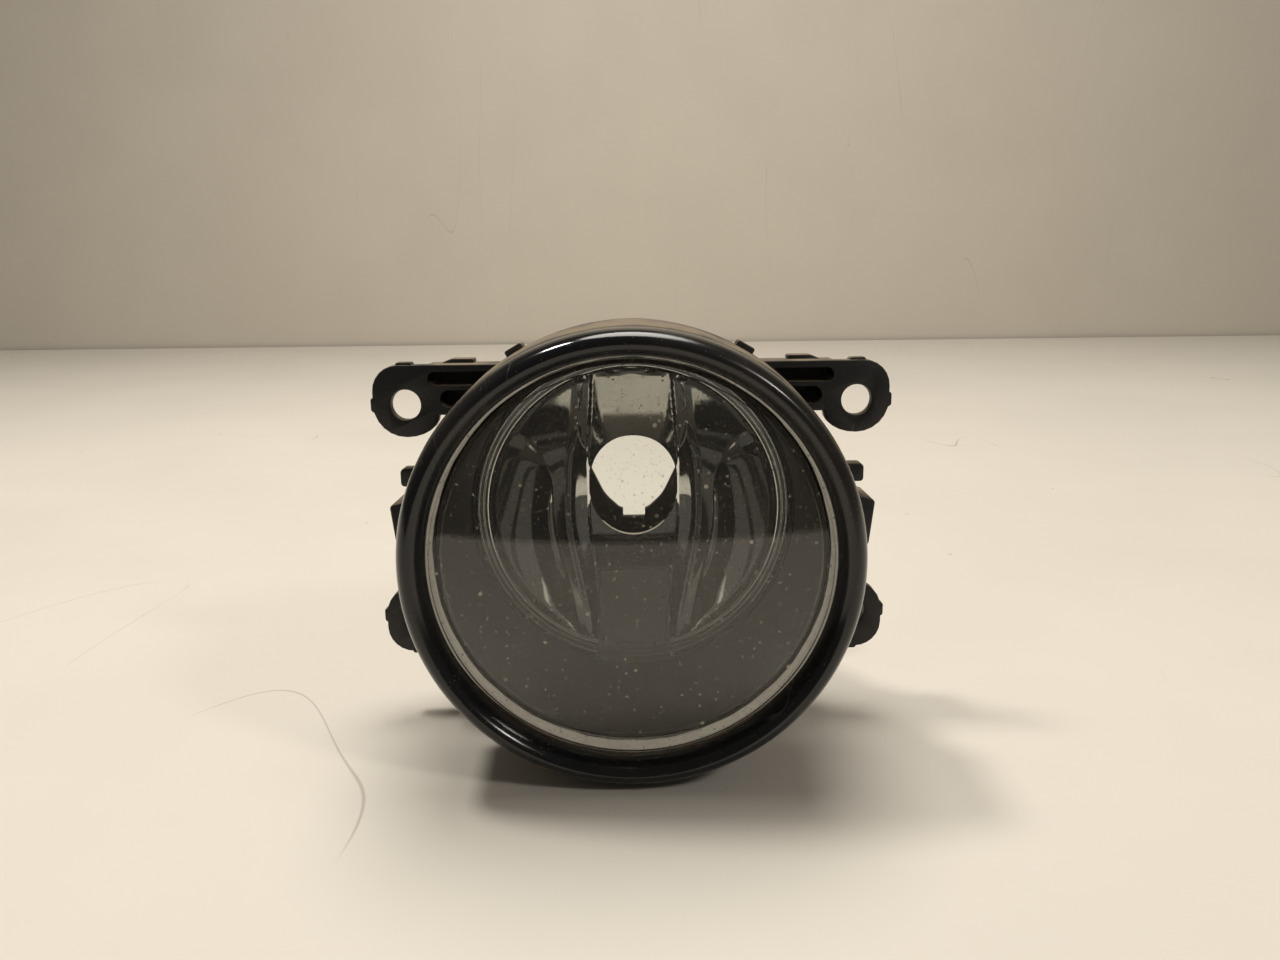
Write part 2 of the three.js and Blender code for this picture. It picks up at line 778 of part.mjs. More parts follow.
function adjusterScrew() {
  const headBack = screwHeadFront + screwHeadLength;
  const slot = block(
    -screwHeadRadius,
    screwHeadRadius,
    headBack - screwSlotDepth,
    headBack + cutMargin,
    -adjusterDrop - screwSlotWidth / 2,
    -adjusterDrop + screwSlotWidth / 2,
  );
  const whole = joined([
    rodY(screwRadius, screwFront, screwHeadFront, 0, -adjusterDrop),
    rodY(screwFlangeRadius, screwFlangeFront, screwHeadFront, 0, -adjusterDrop),
    rodY(screwHeadRadius, screwHeadFront, headBack, 0, -adjusterDrop, hexagonSides),
  ]);
  return whole.subtract(slot);
}

function adjusterRetainer() {
  const back = frontWallDepth - restGap;
  const front = back - retainerThickness;
  const hole = rodY(wallHole, front - cutMargin, back + cutMargin, 0, -adjusterDrop);
  return rodY(retainerRadius, front, back, 0, -adjusterDrop).subtract(hole);
}

function adjusterNut() {
  const front = nutDepth - nutLength / 2;
  const back = nutDepth + nutLength / 2;
  const grooveHalf = forkThickness / 2 + forkGap;
  const low = -adjusterDrop - nutHalfHeight;
  const high = -adjusterDrop + nutHalfHeight;
  const cuts = [rodY(nutBore, front - cutMargin, back + cutMargin, 0, -adjusterDrop)];
  for (const side of [-1, 1]) {
    const inner = side * (nutHalfWidth - nutGrooveDepth);
    const outer = side * (nutHalfWidth + cutMargin);
    cuts.push(
      block(
        Math.min(inner, outer),
        Math.max(inner, outer),
        nutDepth - grooveHalf,
        nutDepth + grooveHalf,
        low - cutMargin,
        high + cutMargin,
      ),
    );
  }
  return block(-nutHalfWidth, nutHalfWidth, front, back, low, high).subtract(joined(cuts));
}

// ---- assembly ----

const fogLight = new THREE.Group();
fogLight.add(
  piece("mounting_bracket", mountingBracket(), "dullBlack"),
  piece("pivot_bush_left", pivotBush(-1), "whiteNylon"),
  piece("pivot_bush_right", pivotBush(1), "whiteNylon"),
);

const lampUnit = new THREE.Group();
lampUnit.position.set(0, -lampReach, -lampDrop);
lampUnit.add(
  piece("lamp_housing", lampHousing(), "dullBlack"),
  piece("front_bezel", frontBezel(), "glossBlack"),
  piece("lens", lens(), "clearGlass"),
  piece("lens_seal", lensSeal(), "paleSealant"),
  piece("inner_trim_ring", innerTrimRing(), "trimGrey"),
  piece("reflector", reflector(), "mirror"),
  piece("bulb_seat", bulbSeat(), "trimGrey"),
  piece("breather_elbow", breatherElbow(), "blackRubber"),
  piece("adjuster_screw", adjusterScrew(), "zincSteel"),
  piece("adjuster_retainer", adjusterRetainer(), "zincSteel"),
  piece("adjuster_nut", adjusterNut(), "whiteNylon"),
);
fogLight.add(lampUnit);

export default fogLight;
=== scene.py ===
import json
import math

import bmesh
import bpy
from bpy.props import FloatProperty, FloatVectorProperty, PointerProperty
from mathutils import Matrix, Vector


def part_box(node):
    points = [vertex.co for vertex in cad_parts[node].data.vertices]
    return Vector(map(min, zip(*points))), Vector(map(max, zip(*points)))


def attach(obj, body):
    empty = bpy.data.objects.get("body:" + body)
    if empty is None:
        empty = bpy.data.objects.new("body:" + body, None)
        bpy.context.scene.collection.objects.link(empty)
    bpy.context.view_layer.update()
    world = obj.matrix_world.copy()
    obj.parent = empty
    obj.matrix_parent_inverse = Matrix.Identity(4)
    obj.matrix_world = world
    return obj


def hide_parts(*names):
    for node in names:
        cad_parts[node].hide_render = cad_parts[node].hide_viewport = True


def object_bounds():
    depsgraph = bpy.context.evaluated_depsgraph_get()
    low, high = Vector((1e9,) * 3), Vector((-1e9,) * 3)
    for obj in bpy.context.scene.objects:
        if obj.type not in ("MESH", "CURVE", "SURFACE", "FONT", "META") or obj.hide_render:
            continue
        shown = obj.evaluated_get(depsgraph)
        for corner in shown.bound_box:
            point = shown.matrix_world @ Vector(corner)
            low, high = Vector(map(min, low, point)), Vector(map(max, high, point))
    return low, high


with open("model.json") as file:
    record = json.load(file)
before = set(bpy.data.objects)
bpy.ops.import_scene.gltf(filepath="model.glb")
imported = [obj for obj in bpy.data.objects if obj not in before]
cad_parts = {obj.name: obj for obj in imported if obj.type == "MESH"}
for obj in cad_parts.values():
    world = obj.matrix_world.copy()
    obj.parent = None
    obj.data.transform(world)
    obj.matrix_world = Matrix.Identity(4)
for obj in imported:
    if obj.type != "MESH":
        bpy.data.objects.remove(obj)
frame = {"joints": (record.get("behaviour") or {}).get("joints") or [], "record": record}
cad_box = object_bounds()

bl_info = {
    "name": "Fog Light",
    "version": (1, 0, 0),
    "blender": (4, 5, 0),
    "location": "View3D > Sidebar > Fog Light",
    "description": "Builds a round front fog light in its tilting bracket",
    "category": "Add Mesh",
}

# The frame gives every place. The lamp's parts are turned about one axis along Y.
LENS_LOW, LENS_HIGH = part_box("lens")
BEZEL_LOW, BEZEL_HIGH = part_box("front_bezel")
SEAL_LOW, SEAL_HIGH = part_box("lens_seal")
TRIM_LOW, TRIM_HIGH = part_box("inner_trim_ring")
BOWL_LOW, BOWL_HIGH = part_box("reflector")
SEAT_LOW, SEAT_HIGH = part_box("bulb_seat")
HOUSING_LOW, HOUSING_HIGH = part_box("lamp_housing")
_, BRACKET_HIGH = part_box("mounting_bracket")
BUSH_LOW, BUSH_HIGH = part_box("pivot_bush_right")
ELBOW_LOW, ELBOW_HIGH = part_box("breather_elbow")
SCREW_LOW, SCREW_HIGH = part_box("adjuster_screw")
RETAINER_LOW, RETAINER_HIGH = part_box("adjuster_retainer")
NUT_LOW, NUT_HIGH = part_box("adjuster_nut")
AXIS_Z = (LENS_LOW.z + LENS_HIGH.z) / 2
SCREW_Z = (SCREW_LOW.z + SCREW_HIGH.z) / 2
EAR_MOUNTS = [m for m in frame["record"]["mounts"] if m["name"].startswith("ear_face")]
EAR_X = max(m["pos_m"][0] for m in EAR_MOUNTS)
TILT = next(j for j in frame["joints"] if j["name"] == "lamp_tilt")
PIVOT_Y, PIVOT_Z = TILT["pos_m"][1], TILT["pos_m"][2]

ROUND_STEPS = 144
SMALL_STEPS = 40
ARC_STEPS = 12
CORNER_STEPS = 4
EDGE_STEPS = 2
WELD = 1e-7
ON_AXIS = 1e-6
CUT_MARGIN = 0.001
SHARP_ANGLE = math.radians(38)
SIDES = (-1, 1)


def mm(value):
    return value / 1000


# ---- sizes and colours that a user may change ----


class FogLensSizes(bpy.types.PropertyGroup):
    thickness: FloatProperty(
        name="Glass thickness", description="Thickness of the lens in the middle",
        default=mm(3.0), min=mm(1.5), unit="LENGTH", precision=4)
    dome_rise: FloatProperty(
        name="Dome rise", description="How far the middle of the lens stands out",
        default=mm(3.0), min=mm(0.5), unit="LENGTH", precision=4)
    flange: FloatProperty(
        name="Flange thickness", description="Thickness of the edge under the bezel's lip",
        default=mm(2.5), min=mm(1.0), unit="LENGTH", precision=4)
    step: FloatProperty(
        name="Flange width", description="Width of the edge under the bezel's lip",
        default=mm(2.0), min=mm(0.5), unit="LENGTH", precision=4)
    foot: FloatProperty(
        name="Foot width", description="Width of the lens's foot that stands on the seal",
        default=mm(4.2), min=mm(1.0), unit="LENGTH", precision=4)
    tint: FloatVectorProperty(
        name="Dust colour", description="Colour of the dust specks on the glass",
        default=(0.62, 0.56, 0.46), size=3, min=0, max=1, subtype="COLOR")


class FogBezelSizes(bpy.types.PropertyGroup):
    width: FloatProperty(
        name="Ring width", description="Width of the rolled ring seen from the front",
        default=mm(5.4), min=mm(3.0), unit="LENGTH", precision=4)
    wall: FloatProperty(
        name="Rim wall", description="Wall of the ring's rear rim",
        default=mm(1.8), min=mm(0.8), unit="LENGTH", precision=4)
    lip: FloatProperty(
        name="Lip wall", description="Wall of the lip that holds the lens",
        default=mm(1.4), min=mm(0.6), unit="LENGTH", precision=4)
    gloss_black: FloatVectorProperty(
        name="Gloss black", description="Colour of the bezel",
        default=(0.006, 0.0065, 0.008), size=3, min=0, max=1, subtype="COLOR")


class FogBowlSizes(bpy.types.PropertyGroup):
    focal_length: FloatProperty(
        name="Focal length", description="Focal length of the mirror bowl",
        default=mm(11.8), min=mm(8.0), unit="LENGTH", precision=4)
    mouth_radius: FloatProperty(
        name="Bowl radius", description="Radius at which the bowl meets its front ring",
        default=mm(34.6), min=mm(20.0), unit="LENGTH", precision=4)
    hole_radius: FloatProperty(
        name="Bulb hole", description="Radius of the hole for the bulb",
        default=mm(11.7), min=mm(8.0), unit="LENGTH", precision=4)
    hole_lift: FloatProperty(
        name="Bulb hole lift", description="How much further the bulb hole reaches up than down",
        default=mm(3.6), min=0.0, unit="LENGTH", precision=4)
    wall: FloatProperty(
        name="Wall", description="Wall of the bowl, measured along the axis",
        default=mm(1.5), min=mm(0.8), unit="LENGTH", precision=4)
    silver: FloatVectorProperty(
        name="Mirror colour", description="Colour of the metallised face",
        default=(0.74, 0.73, 0.71), size=3, min=0, max=1, subtype="COLOR")


class FogHousingSizes(bpy.types.PropertyGroup):
    wall: FloatProperty(
        name="Wall", description="Wall of the housing shell",
        default=mm(2.2), min=mm(1.0), unit="LENGTH", precision=4)
    skirt_wall: FloatProperty(
        name="Skirt wall", description="Wall of the skirt behind the bezel",
        default=mm(2.0), min=mm(1.0), unit="LENGTH", precision=4)
    rib_wall: FloatProperty(
        name="Rib wall", description="Wall of the radial ribs on the back",
        default=mm(1.6), min=mm(0.8), unit="LENGTH", precision=4)
    dust: FloatVectorProperty(
        name="Road dust", description="Colour of the dust that lies on the mouldings",
        default=(0.235, 0.185, 0.125), size=3, min=0, max=1, subtype="COLOR")
    black: FloatVectorProperty(
        name="Moulding black", description="Colour of the bare moulded plastic",
        default=(0.012, 0.0115, 0.011), size=3, min=0, max=1, subtype="COLOR")


class FogBracketSizes(bpy.types.PropertyGroup):
    hole_pitch: FloatProperty(
        name="Hole pitch, upright", description="Height between the upper and lower ear holes",
        default=mm(50.0), min=mm(30.0), unit="LENGTH", precision=4)
    hole_radius: FloatProperty(
        name="Ear hole", description="Radius of the hole in each ear",
        default=mm(3.45), min=mm(2.0), unit="LENGTH", precision=4)
    ear_thickness: FloatProperty(
        name="Ear thickness", description="Thickness of each ear",
        default=mm(3.0), min=mm(1.5), unit="LENGTH", precision=4)
    depth: FloatProperty(
        name="Depth", description="Depth of the hoop and the arms",
        default=mm(8.0), min=mm(4.0), unit="LENGTH", precision=4)
    skin: FloatProperty(
        name="Arm wall", description="Wall round the pockets in the arms",
        default=mm(1.6), min=mm(0.8), unit="LENGTH", precision=4)


class FogStageLook(bpy.types.PropertyGroup):
    floor_colour: FloatVectorProperty(
        name="Floor", description="Colour of the pale floor",
        default=(0.71, 0.665, 0.59), size=3, min=0, max=1, subtype="COLOR")
    wall_colour: FloatVectorProperty(
        name="Backdrop", description="Colour of the pale backdrop",
        default=(0.76, 0.70, 0.60), size=3, min=0, max=1, subtype="COLOR")
    lamp_power: FloatProperty(
        name="Soft light", description="Power of each overhead soft light, in watts",
        default=4.6, min=0.0)
    room_light: FloatProperty(
        name="Room light", description="Strength of the even light from all round",
        default=0.09, min=0.0)


SETTINGS = {
    "fog_lens": FogLensSizes,
    "fog_bezel": FogBezelSizes,
    "fog_bowl": FogBowlSizes,
    "fog_housing": FogHousingSizes,
    "fog_bracket": FogBracketSizes,
    "fog_stage": FogStageLook,
}


# ---- materials ----


class Field:
    """A shader value. Arithmetic on it adds Math nodes to its finish."""

    def __init__(self, finish, socket):
        self.finish = finish
        self.socket = socket

    def _math(self, operation, *values, clamp=False):
        settings = {"operation": operation, "use_clamp": clamp}
        return self.finish.node("ShaderNodeMath", settings, dict(enumerate(values)))[0]

    def __add__(self, other):
        return self._math("ADD", self, other)

    def __sub__(self, other):
        return self._math("SUBTRACT", self, other)

    def __rsub__(self, other):
        return self._math("SUBTRACT", other, self)

    def __mul__(self, other):
        return self._math("MULTIPLY", self, other)

    __radd__ = __add__
    __rmul__ = __mul__

    def clamped(self):
        return self._math("ADD", self, 0.0, clamp=True)

    def ramp(self, start, end):
        """0 below start and 1 above end, with a smooth change between them."""
        settings = {"interpolation_type": "SMOOTHSTEP"}
        inputs = {"Value": self, "From Min": start, "From Max": end}
        return self.finish.node("ShaderNodeMapRange", settings, inputs)[0]


class Outputs:
    """A node's outputs as fields, by place or by name."""

    def __init__(self, finish, made):
        self.finish = finish
        self.made = made

    def __getitem__(self, key):
        return Field(self.finish, self.made.outputs[key])


class Finish:
    """A node material. Every node in it is made by node()."""

    def __init__(self, name):
        self.material = bpy.data.materials.new(name)
        self.material.use_nodes = True
        self.tree = self.material.node_tree
        self.tree.nodes.clear()

    def node(self, kind, settings=None, inputs=None):
        made = self.tree.nodes.new(kind)
        for key, value in (settings or {}).items():
            setattr(made, key, value)
        for key, value in (inputs or {}).items():
            if isinstance(value, Field):
                self.tree.links.new(value.socket, made.inputs[key])
            else:
                made.inputs[key].default_value = value
        return Outputs(self, made)

    def place(self):
        return self.node("ShaderNodeTexCoord")["Object"]

    def stretched(self, scale):
        inputs = {"Vector": self.place(), "Scale": scale}
        return self.node("ShaderNodeMapping", None, inputs)["Vector"]

    def noise(self, scale, detail=3.0, roughness=0.55, vector=None):
        inputs = {
            "Vector": vector or self.place(),
            "Scale": scale,
            "Detail": detail,
            "Roughness": roughness,
        }
        return self.node("ShaderNodeTexNoise", None, inputs)["Fac"]

    def specks(self, scale, size, share):
        """Round dots in a share of the cells of a loose grid, size as a part of a cell."""
        cells = self.node("ShaderNodeTexVoronoi", None, {"Vector": self.place(), "Scale": scale})
        chance = self.node("ShaderNodeSeparateColor", None, {"Color": cells["Color"]})["Red"]
        dots = 1 - cells["Distance"].ramp(size * 0.55, size)
        return dots * (1 - chance.ramp(share, share + 0.02))

    def scratches(self, scale, width):
        """Fine hairlines where a stretched noise crosses its middle value."""
        value = self.noise(scale, detail=1.0, vector=self.stretched((1.0, 0.35, 0.12)))
        across = self.node("ShaderNodeMath", {"operation": "ABSOLUTE"}, {0: value - 0.5})[0]
        return 1 - across.ramp(0.0, width)

    def facing(self, axis):
        """How far the surface faces along one axis, from -1 to 1."""
        normal = self.node("ShaderNodeNewGeometry")["Normal"]
        return self.node("ShaderNodeSeparateXYZ", None, {"Vector": normal})[axis]

    def mix(self, share, low, high):
        """Colour low where share is 0, and colour high where it is 1."""
        settings = {"data_type": "RGBA"}
        inputs = {0: share, 6: low, 7: high}
        return self.node("ShaderNodeMix", settings, inputs)[2]

    def bump(self, height, strength, distance):
        inputs = {"Height": height, "Strength": strength, "Distance": distance}
        return self.node("ShaderNodeBump", None, inputs)["Normal"]

    def skin(self, **inputs):
        return self.node("ShaderNodeBsdfPrincipled", None, {
            key.replace("_", " "): value for key, value in inputs.items()
        })["BSDF"]

    def done(self, surface):
        self.node("ShaderNodeOutputMaterial", None, {"Surface": surface})
        return self.material


def rgba(colour):
    return (*colour, 1.0)


def dusty_moulding(name, black, dust, cover, reach):
    """Moulded plastic with dust on what faces up. Cover is the share of dust on all sides."""
    finish = Finish(name)
    cloud = finish.noise(95.0, 5.0, 0.6)
    grain = finish.noise(1400.0, 2.0, 0.5)
    lying = finish.facing("Z").ramp(0.15, 0.85) * cloud.ramp(0.30, 0.58) * reach
    dots = finish.specks(900.0, 0.28, 0.25) * (0.06 + cover)
    dirt = (lying + cover * cloud.ramp(0.35, 0.75) + dots).clamped()
    worn = finish.scratches(60.0, 0.004) * finish.noise(40.0).ramp(0.52, 0.62) * 0.25
    dust_tone = finish.mix(cloud, rgba([c * 0.62 for c in dust]), rgba([c * 1.15 for c in dust]))
    base = finish.mix(dirt, rgba(black), dust_tone)
    colour = finish.mix(worn, base, rgba([min(1, c * 1.6) for c in dust]))
    surface = finish.skin(
        Base_Color=colour,
        Roughness=(0.42 + grain * 0.16 + dirt * 0.4).clamped(),
        Normal=finish.bump(grain + cloud * 0.6, 0.22, mm(0.25)),
    )
    return finish.done(surface)


def gloss_moulding(name, black, dust):
    finish = Finish(name)
    cloud = finish.noise(70.0, 5.0, 0.62)
    smudge = finish.noise(26.0, 3.0)
    lines = finish.scratches(85.0, 0.0035) * finish.noise(55.0).ramp(0.5, 0.6)
    behind = finish.facing("Y").ramp(-0.25, 0.35) * finish.facing("Z").ramp(0.0, 0.6)
    dirt = behind * cloud.ramp(0.25, 0.6) * 0.75 + finish.specks(1500.0, 0.24, 0.2) * 0.22
    film = (dirt + smudge.ramp(0.42, 0.75) * 0.07 + lines * 0.12).clamped()
    surface = finish.skin(
        Base_Color=finish.mix(film, rgba(black), rgba(dust)),
        Roughness=(0.11 + smudge.ramp(0.35, 0.8) * 0.2 + lines * 0.25 + dirt * 0.6).clamped(),
        Normal=finish.bump(cloud + lines * 0.4, 0.05, mm(0.2)),
    )
    return finish.done(surface)


def dusty_glass(name, dust):
    """Clear glass as a thin reflecting skin, under a thin film of dust and small specks."""
    finish = Finish(name)
    cloud = finish.noise(60.0, 4.0, 0.6)
    fine = finish.specks(1300.0, 0.30, 0.40)
    middling = finish.specks(560.0, 0.20, 0.45)
    coarse = finish.specks(230.0, 0.13, 0.35)
    wiped = finish.noise(160.0, 3.0, 0.6, vector=finish.stretched((1.0, 1.0, 0.22)))
    film = 0.012 + cloud.ramp(0.3, 0.75) * 0.016 + wiped.ramp(0.45, 0.7) * 0.008
    cover = (film + fine * 0.16 + middling * 0.34 + coarse * 0.55).clamped()
    clear = finish.node("ShaderNodeBsdfTransparent", None, {"Color": (0.955, 0.965, 0.955, 1.0)})
    shine = finish.node("ShaderNodeBsdfGlossy", None, {"Color": (1, 1, 1, 1), "Roughness": 0.03})
    glint = finish.node("ShaderNodeFresnel", None, {"IOR": 1.48})[0]
    glass = finish.node("ShaderNodeMixShader", None, {0: glint, 1: clear[0], 2: shine[0]})
    powder = finish.skin(Base_Color=rgba(dust), Roughness=0.9)
    return finish.done(
        finish.node("ShaderNodeMixShader", None, {0: cover, 1: glass[0], 2: powder})[0])


def mirror_face(name, silver, dust):
    finish = Finish(name)
    cloud = finish.noise(75.0, 4.0, 0.6)
    dots = finish.specks(1250.0, 0.24, 0.3) * 0.55 + finish.specks(420.0, 0.18, 0.2) * 0.7
    place = finish.node("ShaderNodeSeparateXYZ", None, {"Vector": finish.place()})
    across = finish.node("ShaderNodeMath", {"operation": "ABSOLUTE"}, {0: place["X"]})[0]
    # The lower part of the upright strip gets a pale, rougher, less metallic band: partly a milky haze
    # on the mirror, partly a painted reflection of bright light on the strip.
    low = 1 - (place["Z"] - AXIS_Z).ramp(mm(-20.5), mm(-18.5))
    bloom_and_painted_reflection = (1 - across.ramp(mm(8.6), mm(9.4))) * low * (0.75 + cloud * 0.3)
    film = (dots + cloud.ramp(0.45, 0.8) * 0.06).clamped()
    silver_and_painted_reflection = finish.mix(bloom_and_painted_reflection.clamped(), rgba(silver), rgba((0.50, 0.455, 0.41)))
    surface = finish.skin(
        Base_Color=finish.mix(film, silver_and_painted_reflection, rgba([c * 0.5 for c in dust])),
        Metallic=(1 - film * 0.9 - bloom_and_painted_reflection * 0.8).clamped(),
        Roughness=(0.035 + cloud * 0.05 + film * 0.55 + bloom_and_painted_reflection * 0.3).clamped(),
        Normal=finish.bump(finish.noise(130.0, 2.0), 0.02, mm(0.3)),
    )
    return finish.done(surface)


def speckled_moulding(name, black, dust, cover):
    """Dark plastic inside the lamp, with a fine even fall of dust specks."""
    finish = Finish(name)
    cloud = finish.noise(110.0, 4.0, 0.6)
    grain = finish.noise(1900.0, 2.0, 0.5)
    dots = finish.specks(1300.0, 0.3, 0.4) * 0.5 + finish.specks(520.0, 0.2, 0.25) * 0.6
    film = (dots * 0.6 + cover * (0.6 + cloud * 0.8)).clamped()
    surface = finish.skin(
        Base_Color=finish.mix(film, rgba(black), rgba(dust)),
        Roughness=(0.5 + grain * 0.2 + film * 0.2).clamped(),
        Normal=finish.bump(grain + dots, 0.2, mm(0.12)),
    )
    return finish.done(surface)


def pale_bead(name):
    """A pale sealing bead. Its faint glow stands for the light that the glass edge carries round."""
    finish = Finish(name)
    cloud = finish.noise(240.0, 4.0, 0.6)
    lumps = finish.noise(700.0, 3.0, 0.6)
    surface = finish.skin(
        Base_Color=finish.mix(cloud.ramp(0.3, 0.7), rgba((0.70, 0.62, 0.50)),
        rgba((0.86, 0.80, 0.70))),
        Roughness=(0.45 + lumps * 0.3).clamped(),
        Emission_Color=finish.mix(lumps, rgba((0.52, 0.43, 0.32)), rgba((0.80, 0.72, 0.60))),
        Emission_Strength=0.30,
        Normal=finish.bump(lumps, 0.35, mm(0.2)),
    )
    return finish.done(surface)


def rubber(name):
    finish = Finish(name)
    cloud = finish.noise(130.0, 4.0, 0.6)
    grain = finish.noise(1500.0, 2.0)
    bloom_and_painted_reflection = cloud.ramp(0.45, 0.8) * 0.35 + finish.facing("Z").ramp(0.2, 0.9) * 0.25
    surface = finish.skin(
        Base_Color=finish.mix(bloom_and_painted_reflection.clamped(), rgba((0.012, 0.012, 0.012)),
        rgba((0.10, 0.088, 0.07))),
        Roughness=(0.75 + grain * 0.2).clamped(),
        Normal=finish.bump(grain, 0.25, mm(0.15)),
    )
    return finish.done(surface)


def zinc_steel(name):
    finish = Finish(name)
    cloud = finish.noise(220.0, 4.0, 0.6)
    brushed = finish.noise(900.0, 3.0, 0.5, vector=finish.stretched((1.0, 0.08, 1.0)))
    stain = cloud.ramp(0.52, 0.75) * 0.6
    surface = finish.skin(
        Base_Color=finish.mix(stain, rgba((0.56, 0.56, 0.55)), rgba((0.33, 0.25, 0.15))),
        Metallic=1 - stain * 0.5,
        Roughness=(0.24 + brushed * 0.22 + stain * 0.3).clamped(),
        Normal=finish.bump(brushed, 0.12, mm(0.1)),
    )
    return finish.done(surface)


def natural_nylon(name):
    finish = Finish(name)
    cloud = finish.noise(180.0, 4.0, 0.6)
    grime = cloud.ramp(0.5, 0.8) * 0.5
    surface = finish.skin(
        Base_Color=finish.mix(grime, rgba((0.66, 0.63, 0.55)), rgba((0.24, 0.20, 0.15))),
        Roughness=(0.38 + cloud * 0.2).clamped(),
        Normal=finish.bump(cloud, 0.08, mm(0.2)),
        Subsurface_Weight=0.08,
    )
    return finish.done(surface)


def painted_board(name, colour, mark_share):
    """A pale painted surface with faint clouds, small flecks and a few hair scratches."""
    finish = Finish(name)
    cloud = finish.noise(7.0, 5.0, 0.6)
    flecks = finish.specks(60.0, 0.055, 0.16) * 0.6 + finish.specks(24.0, 0.03, 0.2) * 0.75
    lines = finish.scratches(9.0, 0.0011) * finish.noise(6.0).ramp(0.56, 0.6) * 0.5
    tone = finish.mix(cloud.ramp(0.3, 0.7), rgba([c * 0.965 for c in colour]), rgba(colour))
    marks = ((flecks + lines) * mark_share).clamped()
    surface = finish.skin(
        Base_Color=finish.mix(marks, tone, rgba((0.16, 0.11, 0.07))),
        Roughness=(0.5 + cloud * 0.2).clamped(),
        Normal=finish.bump(cloud + finish.noise(160.0, 3.0) * 0.1, 0.05, mm(1.0)),
    )
    return finish.done(surface)


# ---- shapes ----


def round_corners(bm, verts, radii, steps):
    for vert, radius in zip(verts, radii):
        if radius > 0:
            bmesh.ops.bevel(
                bm, geom=[vert], offset=radius, offset_type="OFFSET", segments=steps,
                profile=0.5, affect="VERTICES", material=-1)


def spun(outline, steps=ROUND_STEPS, corner_steps=CORNER_STEPS):
    """An outline of (radius, depth[, rounding]) corners turned into a solid about the Y axis."""
    bm = bmesh.new()
    corners = [(*corner, 0.0)[:3] for corner in outline]
    verts = [bm.verts.new((radius, depth, 0.0)) for radius, depth, _ in corners]
    bm.faces.new(verts)
    round_corners(bm, verts, [rounding for _, _, rounding in corners], corner_steps)
    bmesh.ops.delete(bm, geom=bm.faces[:], context="FACES_ONLY")
    for edge in bm.edges[:]:
        if all(abs(v.co.x) < ON_AXIS for v in edge.verts):
            bm.edges.remove(edge)
    bmesh.ops.spin(
        bm, geom=bm.verts[:] + bm.edges[:], cent=(0, 0, 0), axis=(0, 1, 0), dvec=(0, 0, 0),
        angle=math.tau, steps=steps, use_merge=True, use_normal_flip=False, use_duplicate=False)
    bmesh.ops.remove_doubles(bm, verts=bm.verts, dist=WELD)
    bmesh.ops.recalc_face_normals(bm, faces=bm.faces)
    return bm


def moved(bm, x=0.0, y=0.0, z=0.0):
    bmesh.ops.translate(bm, verts=bm.verts, vec=(x, y, z))
    return bm


def turned(bm, degrees, axis):
    turn = Matrix.Rotation(math.radians(degrees), 3, axis)
    bmesh.ops.rotate(bm, verts=bm.verts, cent=(0, 0, 0), matrix=turn)
    return bm


def mirrored(corners, side_x, side_z=1):
    return [(side_x * x, side_z * z, *rest) for x, z, *rest in corners]


def slab(corners, front, back, edge=0.0, corner_steps=6):
    """A plate: an outline of (x, z[, rounding]) corners, made thick along Y, its rims eased."""
    bm = bmesh.new()
    corners = [(*corner, 0.0)[:3] for corner in corners]
    verts = [bm.verts.new((x, front, z)) for x, z, _ in corners]
    bm.faces.new(verts)
    round_corners(bm, verts, [rounding for _, _, rounding in corners], corner_steps)
    bmesh.ops.remove_doubles(bm, verts=bm.verts, dist=WELD)
    grown = bmesh.ops.extrude_face_region(bm, geom=bm.faces[:])
    lifted = [g for g in grown["geom"] if isinstance(g, bmesh.types.BMVert)]
    bmesh.ops.translate(bm, verts=lifted, vec=(0, back - front, 0))
    bmesh.ops.recalc_face_normals(bm, faces=bm.faces)
    if edge > 0:
        rims = [e for e in bm.edges if abs(e.verts[0].co.y - e.verts[1].co.y) < WELD]
        bmesh.ops.bevel(
            bm, geom=rims, offset=edge, offset_type="OFFSET", segments=EDGE_STEPS,
            profile=0.5, affect="EDGES", material=-1)
    return bm


def rod(radius, front, back, edge=0.0, steps=SMALL_STEPS):
    """A round bar along Y with eased ends."""
    outline = [(0, front), (radius, front, edge), (radius, back, edge), (0, back)]
    return spun(outline, steps, EDGE_STEPS)


def drill(radius, front, back, flare, steps=SMALL_STEPS):
    """A cutter for a hole along Y whose mouths are eased by flare."""
    half = flare * (1 - math.sqrt(0.5))
    outline = [
        (0, front - CUT_MARGIN), (radius + flare, front - CUT_MARGIN), (radius + flare, front)]
    outline += [(radius + half, front + half), (radius, front + flare), (radius, back - flare)]
    outline += [
        (radius + half, back - half), (radius + flare, back), (radius + flare, back + CUT_MARGIN)]
    outline += [(0, back + CUT_MARGIN)]
    return spun(outline, steps)


def along_x(bm):
    """Turns a shape that was made along Y so that it lies along X."""
    return turned(bm, -90, "Z")


def placed_mesh(bm, name):
    mesh = bpy.data.meshes.new(name)
    bm.to_mesh(mesh)
    bm.free()
    made = bpy.data.objects.new(name, mesh)
    bpy.context.scene.collection.objects.link(made)
    return made


def combined(base, others, operation):
    """The base solid with the others joined to it (UNION), cut out (DIFFERENCE) or kept (INTERSECT)."""
    holder = placed_mesh(base, "work")
    tools = [placed_mesh(other, "tool") for other in others]
    for tool in tools:
        modifier = holder.modifiers.new("combine", "BOOLEAN")
        modifier.operation = operation
        modifier.solver = "MANIFOLD"
        modifier.object = tool
    result = bmesh.new()
    result.from_object(holder, bpy.context.evaluated_depsgraph_get())
    for item in (holder, *tools):
        mesh = item.data
        bpy.data.objects.remove(item)
        bpy.data.meshes.remove(mesh)
    if not result.faces:
        raise RuntimeError(f"{operation} left nothing")
    return result


